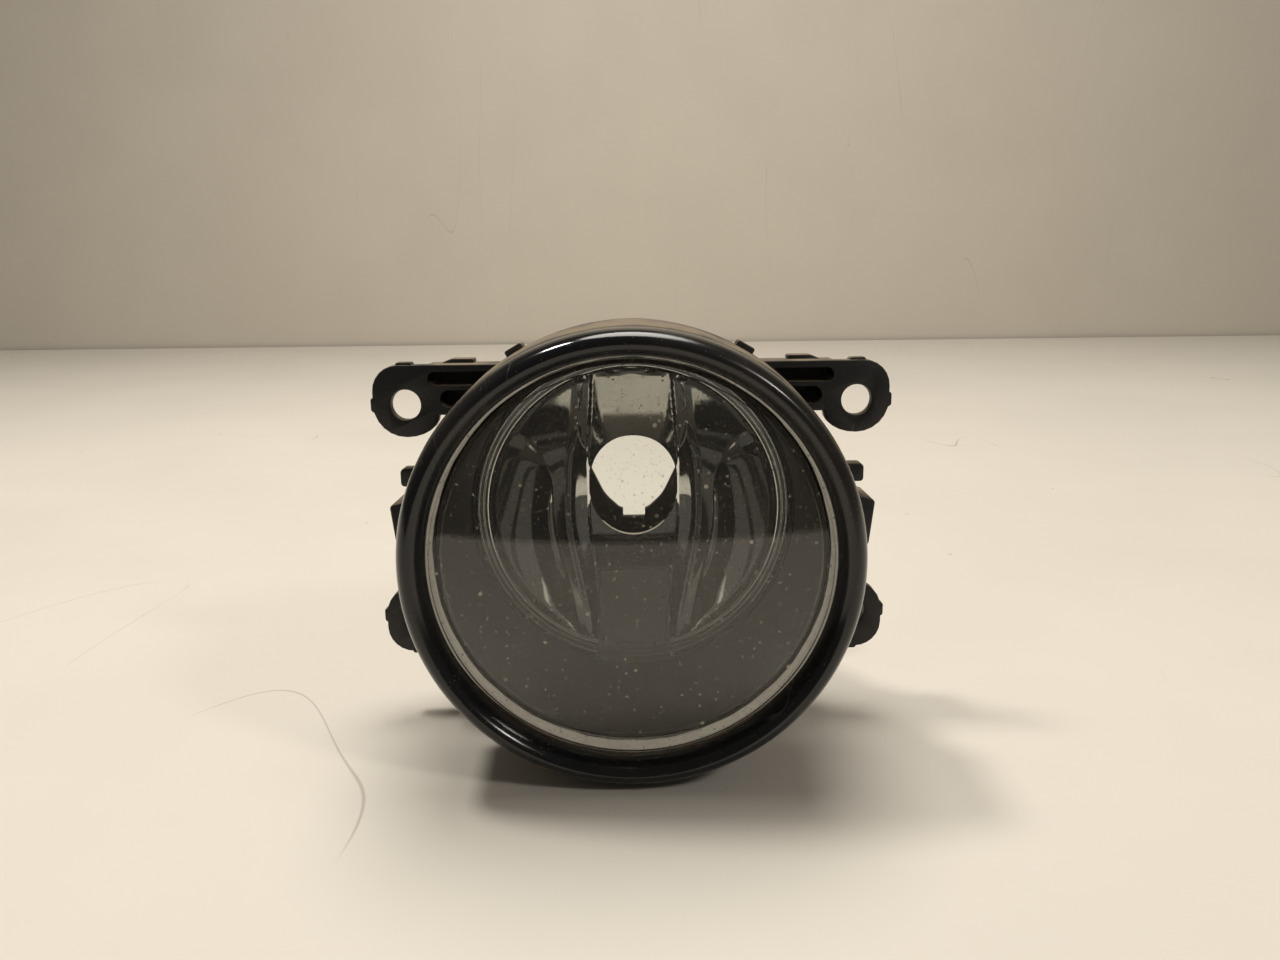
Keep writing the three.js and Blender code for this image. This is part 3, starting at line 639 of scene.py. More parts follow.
def finished(bm, name, body, slot, material, *nodes):
    """A finished piece: smooth where it is round, on its body, standing for its CAD nodes."""
    bmesh.ops.remove_doubles(bm, verts=bm.verts, dist=WELD)
    piece = placed_mesh(bm, name)
    piece.data.shade_smooth()
    piece.data.set_sharp_from_angle(angle=SHARP_ANGLE)
    piece.data.materials.append(material)
    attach(piece, body)
    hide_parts(*nodes)
    return piece


def dome(radius, edge_depth, rise, steps=ARC_STEPS):
    """(radius, depth) points of a shallow dome from its middle to its edge."""
    sphere = (radius ** 2 + rise ** 2) / (2 * rise)
    points = []
    for i in range(steps + 1):
        r = radius * i / steps
        points.append((r, edge_depth - rise + sphere - math.sqrt(sphere ** 2 - r ** 2)))
    return points


def arc(middle, radius, first, last, steps=ARC_STEPS):
    """(radius, depth) points of a round stretch about a middle, from one angle to another."""
    points = []
    for i in range(steps + 1):
        turn = math.radians(first + (last - first) * i / steps)
        points.append(
            (middle[0] + radius[0] * math.cos(turn), middle[1] + radius[1] * math.sin(turn)))
    return points


# ---- the lamp unit ----


def lens_shape(sizes):
    radius = LENS_HIGH.x
    body = radius - sizes.step
    window = body - mm(2.0)
    window_depth = LENS_LOW.y + sizes.dome_rise
    back = LENS_HIGH.y
    flange_front = back - sizes.flange
    foot = radius - sizes.foot
    shoulder = arc((window, flange_front), (body - window, window_depth - flange_front), 90, 0)
    outline = dome(window, window_depth, sizes.dome_rise) + shoulder[1:]
    outline += [(radius, flange_front, mm(0.3)), (radius, back, mm(0.3)), (foot, back, mm(0.3))]
    outline += dome(foot, window_depth + sizes.thickness, sizes.dome_rise)[::-1]
    return moved(spun(outline), z=AXIS_Z)


def bezel_shape(sizes):
    radius = BEZEL_HIGH.x
    opening = radius - sizes.width
    middle = ((radius + opening) / 2, 0.0)
    front, back = BEZEL_LOW.y, BEZEL_HIGH.y
    widest = LENS_HIGH.y - mm(3.9)
    crest = arc((middle[0], widest), (sizes.width / 2, front - widest), 0, 180, 2 * ARC_STEPS)
    lip_back = opening + sizes.lip
    outline = crest + [(opening, widest + mm(1.0), mm(0.3)), (lip_back, widest + mm(1.0), mm(0.3))]
    outline += [(lip_back, widest - mm(2.2)), (radius - sizes.wall, widest - mm(2.2))]
    outline += [(radius - sizes.wall, back, mm(0.3)), (radius, back, mm(0.5))]
    return moved(spun(outline), z=AXIS_Z)


def seal_shape():
    inner, outer = LENS_HIGH.x - mm(2.1), SEAL_HIGH.x
    front, back = SEAL_LOW.y, SEAL_HIGH.y
    outline = [
        (inner, front, mm(0.6)), (outer, front, mm(0.3)), (outer, back, mm(0.3)),
        (inner, back, mm(0.6))]
    bm = spun(outline)
    for vert in bm.verts:
        angle = math.atan2(vert.co.z, vert.co.x)
        wobble = 0.6 * math.sin(17 * angle) + 0.4 * math.sin(41 * angle + 1.0)
        if math.hypot(vert.co.x, vert.co.z) < (inner + outer) / 2:
            vert.co.x *= 1 + mm(0.10) * wobble / inner
            vert.co.z *= 1 + mm(0.10) * wobble / inner
    return moved(bm, z=AXIS_Z)


def trim_shape():
    outer = TRIM_HIGH.x
    inner = outer - mm(1.0)
    front, back = TRIM_LOW.y, TRIM_HIGH.y
    outline = [(inner, front, mm(0.25)), (outer, front, mm(0.25)), (outer, back, mm(0.2))]
    outline += [(inner + mm(0.45), back)]
    for step in range(2):
        depth = back - mm(0.9 + 0.9 * step)
        outline += [
            (inner + mm(0.45 - 0.2 * step), depth),
            (inner + mm(0.25 - 0.2 * step), depth - mm(0.12))]
    return moved(spun(outline), z=AXIS_Z)


def bowl_depth(sizes, radius):
    """Depth of the plain bowl at a radius, set so that the bulb hole lies where the frame has it."""
    hole_depth = SEAT_LOW.y - mm(14.4)
    return hole_depth - (radius ** 2 - sizes.hole_radius ** 2) / (4 * sizes.focal_length)


def smooth(share):
    """0 to 1 with a level start and end."""
    share = min(1.0, max(0.0, share))
    return share * share * (3 - 2 * share)


def hollow(share):
    """A round hollow's depth across it, 0 at both edges and 1 in the middle."""
    return 4 * share * (1 - share) if 0 < share < 1 else 0.0


def flute_rise(u, x, z, curve):
    """How far the mirror stands in front of the plain bowl, in millimetres, at a place on it.

    Across the bowl, on each side, come an upright strip, a narrow flute, a rounded ridge and a
    wide flute. The flutes end in a point above, and the plain bowl shows over them.
    """
    u = abs(u)
    strip, crease, ridge, band, edge = 11.5, 12.1, 17.6, 20.8, 36.5
    at_strip = 1.6 - x * x / curve
    if u < strip:
        return at_strip
    beside = 1.7 - 1.2 * smooth((u - crease) / (ridge - crease))
    if u < crease:
        return at_strip + (beside - at_strip) * smooth((u - strip) / (crease - strip))
    arch = 1 - max(0.0, (z - 11.0) / 8.5) ** 1.5
    half = (ridge - crease) / 2 * max(0.01, arch)
    narrow = hollow(0.5 + (u - (crease + ridge) / 2) / (2 * half))
    start = band + 9.0 * min(1.0, max(0.0, (z - 2.0) / 17.6)) ** 2
    wide = hollow((u - start) / (edge - start)) * (1 - smooth((z - 12.0) / 9.0))
    return beside - 0.75 * narrow - 1.9 * wide


def reflector_shape(sizes):
    reach = sizes.mouth_radius + mm(1.2)
    bm = bmesh.new()
    bmesh.ops.create_grid(bm, x_segments=320, y_segments=96, size=1.0)
    for vert in bm.verts:
        x, z = vert.co.x * reach, vert.co.y * reach
        taper = 1 - 0.40 * smooth((abs(z) - mm(4)) / mm(36)) * (1.0 if z < 0 else 0.55)
        radius = min(math.hypot(x, z), reach)
        curve = 4 * sizes.focal_length / mm(1.0)
        rise = mm(flute_rise(x / mm(1.0) / taper, x / mm(1.0), z / mm(1.0), curve))
        fade = smooth((sizes.mouth_radius - radius) / mm(1.2))
        vert.co = (x, bowl_depth(sizes, radius) - rise * fade, z)
    grown = bmesh.ops.extrude_face_region(bm, geom=bm.faces[:])
    lifted = [g for g in grown["geom"] if isinstance(g, bmesh.types.BMVert)]
    bmesh.ops.translate(bm, verts=lifted, vec=(0, sizes.wall, 0))
    bmesh.ops.recalc_face_normals(bm, faces=bm.faces)
    front, back = BOWL_LOW.y - mm(20), BOWL_HIGH.y + mm(20)
    mouth = sizes.mouth_radius
    bowl = combined(bm, [rod(mouth, front, back, steps=2 * ROUND_STEPS)], "INTERSECT")
    hole = arc((0.0, 0.0), (sizes.hole_radius,) * 2, 180, 360, 2 * ARC_STEPS)
    hole += arc((0.0, sizes.hole_lift), (sizes.hole_radius,) * 2, 0, 180, 2 * ARC_STEPS)
    bowl = combined(bowl, [slab(hole, front, back)], "DIFFERENCE")
    edge = bowl_depth(sizes, mouth)
    outer, rim_front = BOWL_HIGH.x, BOWL_LOW.y
    step_depth = mm(0.35)
    rim = [(mouth - mm(0.2), edge + mm(0.1)), (mouth + mm(0.35), edge - step_depth, mm(0.2))]
    for step in range(2):
        start = mouth + mm(1.3 + 1.15 * step)
        rim += [(start, edge - step_depth * (1 + step) + mm(0.1), mm(0.1))]
        rim += [(start + mm(0.12), edge - step_depth * (2 + step), mm(0.1))]
    rim += [
        (outer - mm(0.6), rim_front + mm(0.15), mm(0.15)), (outer, rim_front + mm(0.3), mm(0.1))]
    rim += [(outer, edge + sizes.wall, mm(0.4)), (mouth - mm(0.2), edge + sizes.wall)]
    return moved(combined(bowl, [spun(rim, 2 * ROUND_STEPS)], "UNION"), z=AXIS_Z)


def key_outline():
    """The bulb's keyed hole: a round lobe above, a taper below and a square slot at the bottom."""
    lobe, lift, end = mm(12.0), mm(0.5), 12
    points = arc((0.0, lift), (lobe, lobe), end, 180 - end, 4 * ARC_STEPS)
    tail = [
        (mm(8.1), mm(-4.6), mm(2.0)), (mm(4.2), mm(-8.2), mm(0.4)), (mm(3.1), mm(-8.6), mm(0.2)),
        (mm(3.1), mm(-10.8), mm(0.3))]
    left = [(-x, z, rounding) for x, z, rounding in tail]
    return points + left + tail[::-1]


def seat_shape():
    front, back, radius = SEAT_LOW.y, SEAT_HIGH.y, SEAT_HIGH.x
    outline = [(0, front), (radius, front, mm(0.4)), (radius, back, mm(0.5))]
    outline += [(radius - mm(2.2), back, mm(0.4)), (radius - mm(2.2), front + mm(2.5), mm(0.3))]
    outline += [(0, front + mm(2.5))]
    body = spun(outline)
    ridge_front, ridge = front - mm(0.25), mm(14.4)
    body = combined(body, [spun([
        (ridge - mm(0.5), ridge_front, mm(0.2)), (ridge + mm(0.3), ridge_front, mm(0.2)),
        (ridge + mm(0.3), front + mm(0.5)), (ridge - mm(0.5), front + mm(0.5))])], "UNION")
    cutter = slab(key_outline(), front - CUT_MARGIN, back)
    chamfer = slab([(x * 1.03, z * 1.03, *rest) for x, z, *rest in key_outline()],
                   front - CUT_MARGIN, front + mm(0.35))
    lugs = []
    for angle in (90, 210, 330):
        lug = slab([(mm(-2.2), mm(12.2), mm(0.4)), (mm(2.2), mm(12.2), mm(0.4)),
                    (mm(2.2), mm(14.6)), (mm(-2.2), mm(14.6))], back - mm(1.8), back - mm(0.4),
                    mm(0.2))
        lugs.append(turned(lug, angle + 30, "Y"))
    body = combined(body, lugs, "UNION")
    return moved(combined(body, [cutter, chamfer], "DIFFERENCE"), z=AXIS_Z)


def shell_points(bowl, offset, first, last, steps=2 * ARC_STEPS):
    """(radius, depth) points of the housing's shell, the bowl moved out along its normals."""
    points = []
    for i in range(steps + 1):
        wanted = first + (last - first) * i / steps
        low, high = ON_AXIS, wanted
        while high - low > WELD:
            radius = (low + high) / 2
            slope = 2 * bowl.focal_length / radius
            if radius + offset / math.hypot(1, slope) < wanted:
                low = radius
            else:
                high = radius
        points.append((wanted, bowl_depth(bowl, radius) + offset * slope / math.hypot(1, slope)))
    return points


def housing_shape(sizes, bowl):
    front, back = HOUSING_LOW.y, HOUSING_HIGH.y
    skirt_start = BEZEL_HIGH.y + mm(0.3)
    skirt_end = skirt_start + mm(15.6)
    bore = TRIM_HIGH.x + mm(0.3)
    body = bore + sizes.wall
    front_wall = BEZEL_HIGH.x - mm(2.1)
    pocket = front_wall - mm(1.3)
    ledge = TRIM_LOW.y - mm(0.02)
    collar = SEAT_HIGH.x + mm(3.5)
    collar_bore = SEAT_HIGH.x + mm(0.3)
    inner = mm(3.0)
    outer = inner + sizes.wall
    barrel_bore_end = BOWL_LOW.y + mm(3.0)
    barrel_end = barrel_bore_end + sizes.wall
    flared = BEZEL_HIGH.x + mm(0.8)
    shell_mouth = bowl.mouth_radius + mm(2.9)
    barrel = spun([
        (0, front), (front_wall, front, mm(0.3)), (front_wall, skirt_start),
        (flared - mm(0.6), skirt_start, mm(0.5)), (flared, skirt_end - mm(1.6), mm(0.3)),
        (flared, skirt_end, mm(0.5)), (flared - sizes.skirt_wall, skirt_end, mm(0.4)),
        (flared - mm(0.6) - sizes.skirt_wall, skirt_start + mm(3.9), mm(0.5)),
        (body, skirt_start + mm(3.9), mm(0.4)), (body, barrel_end, mm(1.4)), (0, barrel_end)])
    curve = shell_points(bowl, outer, shell_mouth, collar)
    shell = spun([
        (0, curve[0][1]), *curve, (collar, back - mm(2.4), mm(0.2)),
        (collar - mm(0.5), back - mm(2.0)), (collar - mm(0.5), back, mm(0.5)), (0, back)])
    added = [shell]
    for index in range(5):
        edge = shell_points(bowl, outer, bowl.mouth_radius + mm(2.4), collar)
        reach, root = edge[0][0], collar - mm(1.6)
        blade = slab([
            (reach, edge[0][1] - mm(1.1)), (reach, edge[0][1] + mm(1.0), mm(0.5)),
            (collar + mm(2.2), edge[-1][1] + mm(7.4), mm(3.0)), (root, edge[-1][1] + mm(10.4)),
            (root, edge[-1][1] - sizes.wall)], -sizes.rib_wall / 2, sizes.rib_wall / 2, mm(0.3))
        bmesh.ops.rotate(
            blade, verts=blade.verts, cent=(0, 0, 0),
            matrix=Matrix.Rotation(math.radians(90), 3, "X"))
        bmesh.ops.scale(blade, verts=blade.verts, vec=(1, -1, 1))
        bmesh.ops.recalc_face_normals(blade, faces=blade.faces)
        added.append(turned(blade, -(18 + 72 * index), "Y"))
    for side in SIDES:
        trunnion = along_x(rod(mm(3.0), body - mm(1.0), HOUSING_HIGH.x, mm(0.4)))
        if side < 0:
            trunnion = turned(trunnion, 180, "Z")
        added.append(moved(trunnion, y=PIVOT_Y))
        lug = slab([(mm(-2.0), flared - mm(1.0)), (mm(2.0), flared - mm(1.0)),
                    (mm(2.0), flared + mm(1.1), mm(0.5)), (mm(-2.0), flared + mm(1.1), mm(0.5))],
                   skirt_end - mm(4.0), skirt_end, mm(0.25))
        added.append(turned(lug, side * 30, "Y"))
    fork_middle = (NUT_LOW.y + NUT_HIGH.y) / 2
    outer_x, inner_x = NUT_HIGH.x, NUT_HIGH.x - mm(1.6)
    screw_drop = AXIS_Z - SCREW_Z
    tip, crotch, root = screw_drop + mm(2.2), screw_drop - mm(6.7), collar - mm(1.6)
    fork = slab([
        (-outer_x, -root), (-outer_x, -tip, mm(0.5)), (-inner_x, -tip, mm(0.5)),
        (-inner_x, -crotch, mm(1.0)), (inner_x, -crotch, mm(1.0)), (inner_x, -tip, mm(0.5)),
        (outer_x, -tip, mm(0.5)), (outer_x, -root)], fork_middle - mm(1.3), fork_middle + mm(1.3),
        mm(0.25))
    added.append(fork)
    vent_x, vent_z = vent_place()
    nipple = rod(mm(2.4), BOWL_LOW.y, ELBOW_LOW.y + mm(5.0), mm(0.3))
    added.append(moved(nipple, x=vent_x, z=vent_z - AXIS_Z))
    whole = combined(barrel, added, "UNION")
    barrel_bore = spun([
        (0, front - CUT_MARGIN), (pocket, front - CUT_MARGIN), (pocket, ledge, mm(0.2)),
        (bore, ledge),
        (bore, barrel_bore_end, mm(0.8)), (0, barrel_bore_end)])
    curve = shell_points(bowl, inner, bowl.mouth_radius + mm(2.4), collar_bore)
    shell_bore = spun([
        (0, curve[0][1]), *curve, (collar_bore, back - mm(0.4)), (collar_bore + mm(0.4), back),
        (collar_bore + mm(0.4), back + CUT_MARGIN), (0, back + CUT_MARGIN)])
    vent_hole = moved(rod(mm(1.2), BOWL_LOW.y, ELBOW_LOW.y + mm(7)), x=vent_x, z=vent_z - AXIS_Z)
    return moved(combined(whole, [barrel_bore, shell_bore, vent_hole], "DIFFERENCE"), z=AXIS_Z)


def vent_place():
    """The breather's own centre, from the box of its elbow."""
    half = (ELBOW_HIGH.z - ELBOW_LOW.z) / 2
    return ELBOW_LOW.x + half, (ELBOW_LOW.z + ELBOW_HIGH.z) / 2


def elbow_shape():
    x, z = vent_place()
    outer = (ELBOW_HIGH.z - ELBOW_LOW.z) / 2
    bore = outer - mm(1.2)
    bend = mm(5.0)
    turn_depth = ELBOW_HIGH.y - outer - bend
    bm = bmesh.new()
    rings = []
    for radius in (outer, bore):
        made = bmesh.ops.create_circle(bm, cap_ends=False, radius=radius, segments=SMALL_STEPS)
        rings += list({e for v in made["verts"] for e in v.link_edges})
    bmesh.ops.bridge_loops(bm, edges=rings)
    bmesh.ops.rotate(
        bm, verts=bm.verts, cent=(0, 0, 0), matrix=Matrix.Rotation(math.radians(90), 3, "X"))
    moved(bm, x=x, y=turn_depth, z=z)
    swept = bmesh.ops.spin(
        bm, geom=bm.verts[:] + bm.edges[:] + bm.faces[:], cent=(x + bend, turn_depth, z),
        axis=(0, 0, 1),
        dvec=(0, 0, 0), angle=math.radians(-90), steps=ARC_STEPS, use_merge=False,
        use_normal_flip=False, use_duplicate=False)
    last = [g for g in swept["geom_last"] if isinstance(g, bmesh.types.BMFace)]
    stretch(bm, last, (ELBOW_HIGH.x - x - bend, 0, 0))
    first = [f for f in bm.faces if all(abs(v.co.y - turn_depth) < WELD for v in f.verts)]
    stretch(bm, first, (0, ELBOW_LOW.y - turn_depth, 0))
    bmesh.ops.recalc_face_normals(bm, faces=bm.faces)
    ends = [(ELBOW_LOW.y, 1), (ELBOW_HIGH.x, 0)]
    rims = []
    for edge in bm.edges:
        for value, index in ends:
            flat = all(abs(v.co[index] - value) < mm(0.01) for v in edge.verts)
            if flat and len({f.normal.to_tuple(2) for f in edge.link_faces}) > 1:
                rims.append(edge)
    bmesh.ops.bevel(
        bm, geom=rims, offset=mm(0.3), offset_type="OFFSET", segments=EDGE_STEPS,
        profile=0.5, affect="EDGES", material=-1)
    return bm


def stretch(bm, faces, vector):
    """Pulls a ring of faces out into a straight length of tube."""
    grown = bmesh.ops.extrude_face_region(bm, geom=faces)
    lifted = [g for g in grown["geom"] if isinstance(g, bmesh.types.BMVert)]
    bmesh.ops.translate(bm, verts=lifted, vec=vector)
    bmesh.ops.delete(bm, geom=[f for f in faces if f.is_valid], context="FACES_ONLY")


# ---- bracket and adjuster ----


def arm_parts(sizes, side_x, side_z):
    """One ear and its arm, with rounded corners and the small moulded nubs and pad."""
    hole_z = sizes.hole_pitch / 2
    top, side = hole_z + mm(9.0), EAR_X + mm(7.4)
    inner, under = EAR_X - mm(7.4), hole_z - mm(2.4)
    root = mm(20.0)
    ear = [(root, top), (side, top, mm(6.0)), (side, hole_z - mm(7.4), mm(7.3))]
    ear += [(inner, hole_z - mm(7.4), mm(7.3)), (inner, under, mm(1.6)), (root, under)]
    arm = [
        (root, top), (EAR_X - mm(4.6), top, mm(0.8)), (EAR_X - mm(4.6), under + mm(4.0), mm(3.0))]
    arm += [(inner - mm(0.6), under, mm(1.5)), (root, under)]
    side_nub = [(side - mm(0.6), hole_z - mm(2.2)), (side + mm(0.6), hole_z - mm(1.3), mm(0.3))]
    side_nub += [(side + mm(0.6), hole_z + mm(1.3), mm(0.3)), (side - mm(0.6), hole_z + mm(2.2))]
    top_nub = [(EAR_X - mm(2.4), top - mm(0.6)), (EAR_X - mm(1.6), top + mm(0.6), mm(0.3))]
    top_nub += [(EAR_X + mm(1.6), top + mm(0.6), mm(0.3)), (EAR_X + mm(2.4), top - mm(0.6))]
    pad = [(mm(35.8), top - sizes.skin), (mm(43.6), top - sizes.skin), (mm(43.4), top, mm(0.4))]
    pad += [(mm(41.0), top + mm(1.0), mm(0.6)), (mm(35.8), top + mm(1.0), mm(0.4))]
    parts = [
        (ear, 0, sizes.ear_thickness), (arm, 0, sizes.depth),
        (side_nub, mm(0.3), sizes.ear_thickness)]
    parts += [(top_nub, mm(0.3), sizes.ear_thickness), (pad, sizes.depth - mm(4.0), sizes.depth)]
    return [
        slab(mirrored(outline, side_x, side_z), front, back, mm(0.35)) for outline, front,
        back in parts]


def pocket_cutters(sizes, side_x, side_z, keep):
    """The two long pockets in an arm's front, with round ends and eased floors."""
    hole_z = sizes.hole_pitch / 2
    floor = sizes.depth - sizes.skin
    root = mm(18.0)
    low = (hole_z - mm(2.4) + sizes.skin, hole_z + mm(3.2), EAR_X - mm(7.9))
    high = (hole_z + mm(4.2), hole_z + mm(9.0) - sizes.skin, EAR_X - mm(5.3))
    cutters = []
    for bottom, top, end in (low, high):
        rounding = (top - bottom) * 0.48
        outline = [(root, bottom), (end, bottom, rounding), (end, top, rounding), (root, top)]
        cutter = slab(mirrored(outline, side_x, side_z), -mm(3.0), floor, mm(0.6))
        cutters.append(
            combined(cutter, [moved(rod(keep, -mm(10), mm(20), steps=ROUND_STEPS), z=AXIS_Z)],
            "DIFFERENCE"))
    return cutters


def boss_parts(sizes, side):
    """The block that holds a pivot, and the small stop above it."""
    inner, reach = mm(42.0), BRACKET_HIGH.x - mm(3.6)
    block = [(inner, AXIS_Z + mm(8.3)), (reach, AXIS_Z + mm(4.8), mm(0.8))]
    block += [(reach - mm(1.2), AXIS_Z - mm(5.8), mm(0.8)), (inner, AXIS_Z - mm(7.0))]
    stop = [(inner, AXIS_Z + mm(8.6)), (mm(53.2), AXIS_Z + mm(8.6), mm(0.8))]
    stop += [(mm(53.2), AXIS_Z + mm(12.9), mm(1.2)), (inner, AXIS_Z + mm(12.9))]
    return [
        slab(mirrored(block, side), -mm(3.0), sizes.depth + mm(3.0), mm(0.4)),
        slab(mirrored(stop, side), 0, mm(4.0), mm(0.4)),
    ]


def carrier_parts():
    """Two rails with a step in their upper edge, and the cross walls that hold the screw."""
    foot, end = AXIS_Z - mm(46.0), BRACKET_HIGH.y
    low_top, high_top = AXIS_Z - mm(43.2), SCREW_Z + mm(1.0)
    step = BOWL_LOW.y + mm(7.0)
    outline = [
        (0, foot), (end, foot, mm(0.8)), (end, high_top, mm(0.8)),
        (step + mm(3.0), high_top, mm(1.0))]
    outline += [(step, low_top, mm(1.0)), (0, low_top)]
    inner, outer = NUT_HIGH.x + mm(0.5), NUT_HIGH.x + mm(2.3)
    parts = []
    for side in SIDES:
        rail = slab(
            outline, min(side * inner, side * outer), max(side * inner, side * outer), mm(0.3))
        for vert in rail.verts:
            vert.co = (vert.co.y, vert.co.x, vert.co.z)
        bmesh.ops.recalc_face_normals(rail, faces=rail.faces)
        parts.append(rail)
    for front in (RETAINER_HIGH.y + mm(0.3), end - mm(3.0)):
        wall = [
            (-outer, foot), (outer, foot), (outer, SCREW_Z + mm(4.5), mm(1.6)),
            (-outer, SCREW_Z + mm(4.5), mm(1.6))]
        parts.append(slab(wall, front, front + mm(3.0), mm(0.3)))
    return parts


def bracket_shape(sizes):
    hoop_inner, hoop_outer = mm(43.0), mm(46.0)
    ring = [(hoop_inner, 0, mm(0.4)), (hoop_outer, 0, mm(0.5)), (hoop_outer, sizes.depth, mm(0.5))]
    ring += [(hoop_inner, sizes.depth, mm(0.4))]
    hoop = moved(spun(ring), z=AXIS_Z)
    added = carrier_parts()
    cutters = []
    for side_x in SIDES:
        added += boss_parts(sizes, side_x)
        bore = along_x(rod(mm(4.8), hoop_inner - CUT_MARGIN, mm(51.3)))
        if side_x < 0:
            bore = turned(bore, 180, "Z")
        cutters.append(moved(bore, y=PIVOT_Y, z=PIVOT_Z))
        for side_z in SIDES:
            added += arm_parts(sizes, side_x, side_z)
            cutters += pocket_cutters(sizes, side_x, side_z, hoop_outer + mm(1.6))
            hole = drill(sizes.hole_radius, 0, sizes.ear_thickness, mm(0.35))
            cutters.append(moved(hole, x=side_x * EAR_X, z=side_z * sizes.hole_pitch / 2))
            clear = rod(sizes.hole_radius + mm(0.3), sizes.ear_thickness, sizes.depth + CUT_MARGIN)
            cutters.append(moved(clear, x=side_x * EAR_X, z=side_z * sizes.hole_pitch / 2))
    cutters.append(
        moved(rod(hoop_inner, -mm(4.0), sizes.depth + mm(4.0), steps=ROUND_STEPS), z=AXIS_Z))
    for front in (RETAINER_HIGH.y + mm(0.3), BRACKET_HIGH.y - mm(3.0)):
        cutters.append(moved(drill(mm(2.65), front, front + mm(3.0), mm(0.25)), z=SCREW_Z))
    whole = combined(hoop, added, "UNION")
    return combined(whole, cutters, "DIFFERENCE")


def bush_shape(side):
    inner, outer = mm(3.15), (BUSH_HIGH.z - BUSH_LOW.z) / 2
    start, end = BUSH_LOW.x, BUSH_HIGH.x
    outline = [
        (inner, start, mm(0.3)), (outer, start, mm(0.3)), (outer, end, mm(0.4)),
        (inner, end, mm(0.3))]
    bush = along_x(spun(outline, SMALL_STEPS))
    if side < 0:
        bush = turned(bush, 180, "Z")
    return moved(bush, y=PIVOT_Y, z=PIVOT_Z)


def screw_shape():
    """A threaded rod with a flange and a slotted hexagon head. The thread is a swept ridge."""
    radius, pitch, depth = mm(2.5), mm(2.0), mm(0.45)
    root = radius - depth
    end = SCREW_HIGH.y
    head_front = end - mm(4.0)
    flange_front = head_front - mm(1.2)
    thread_front, thread_back = RETAINER_HIGH.y + mm(4.0), flange_front - mm(4.5)
    core = spun([
        (0, SCREW_LOW.y), (radius, SCREW_LOW.y, mm(0.4)), (radius, thread_front),
        (root, thread_front + mm(0.4)),
        (root, thread_back), (radius, thread_back + mm(0.4)), (radius, flange_front),
        (mm(4.6), flange_front, mm(0.25)), (mm(4.6), head_front, mm(0.25)), (mm(3.4), head_front),
        (0, head_front)],
        SMALL_STEPS, EDGE_STEPS)
    turns = int((thread_back - thread_front) / pitch)
    ridge = bmesh.new()
    half = pitch * 0.42
    start = thread_front + half
    tooth = [ridge.verts.new((x, y, 0.0)) for x, y in (
        (root - mm(0.1), start - half), (radius, start - mm(0.12)), (radius, start + mm(0.12)),
        (root - mm(0.1), start + half))]
    ridge.faces.new(tooth)
    steps = 28
    bmesh.ops.spin(
        ridge, geom=ridge.verts[:] + ridge.edges[:] + ridge.faces[:], cent=(0, 0, 0),
        axis=(0, 1, 0),
        dvec=(0, pitch / steps, 0), angle=math.tau * turns, steps=steps * turns, use_merge=False,
        use_normal_flip=False, use_duplicate=False)
    bmesh.ops.recalc_face_normals(ridge, faces=ridge.faces)
    head = bmesh.new()
    bmesh.ops.create_cone(
        head, cap_ends=True, segments=6, radius1=mm(4.0), radius2=mm(4.0), depth=mm(4.0) + mm(0.2))
    turned(head, 90, "X")
    moved(head, y=end - mm(2.1))
    bmesh.ops.bevel(
        head, geom=head.edges[:], offset=mm(0.25), offset_type="OFFSET", segments=EDGE_STEPS,
        profile=0.5, affect="EDGES", material=-1)
    slot = slab(
        [(-mm(5), -mm(0.6)), (mm(5), -mm(0.6)), (mm(5), mm(0.6)), (-mm(5), mm(0.6))], end - mm(1.6),
        end + CUT_MARGIN)
    whole = combined(core, [ridge, head], "UNION")
    return moved(combined(whole, [slot], "DIFFERENCE"), z=SCREW_Z)


def retainer_shape():
    """A star washer: a thin ring with a rolled edge and short slits from its bore."""
    front, back = RETAINER_LOW.y, RETAINER_HIGH.y
    outer, inner = RETAINER_HIGH.x, mm(2.65)
    ring = spun(
        [(inner, front + mm(0.5), mm(0.1)), (outer - mm(0.8), front + mm(0.5)),
        (outer - mm(0.3), front, mm(0.2)),
                 (outer, front, mm(0.2)), (outer, back, mm(0.2)), (inner, back, mm(0.1))],
                 SMALL_STEPS)
    slits = []
    for index in range(6):
        slit = slab(
            [(mm(2.2), -mm(0.25)), (mm(3.4), -mm(0.25)), (mm(3.4), mm(0.25)), (mm(2.2), mm(0.25))],
                    front - CUT_MARGIN, back + CUT_MARGIN)
        slits.append(turned(slit, 60 * index, "Y"))
    return moved(combined(ring, slits, "DIFFERENCE"), z=SCREW_Z)


def nut_shape():
    half_x, half_z = NUT_HIGH.x, (NUT_HIGH.z - NUT_LOW.z) / 2
    front, back = NUT_LOW.y, NUT_HIGH.y
    middle = (front + back) / 2
    block = slab(
        [(-half_x, -half_z, mm(0.6)), (half_x, -half_z, mm(0.6)), (half_x, half_z, mm(0.6)),
                  (-half_x, half_z, mm(0.6))], front, back, mm(0.4))
    cutters = [drill(mm(2.65), front, back, mm(0.4))]
    for side in SIDES:
        groove = mirrored([(half_x - mm(1.7), -half_z - mm(1)), (half_x + mm(1), -half_z - mm(1)),
                           (half_x + mm(1), half_z + mm(1)), (half_x - mm(1.7), half_z + mm(1))],
                           side)
        cutters.append(slab(groove, middle - mm(1.9), middle + mm(1.9)))
    return moved(combined(block, cutters, "DIFFERENCE"), z=SCREW_Z)


# ---- operators, one for each piece or group of like pieces ----


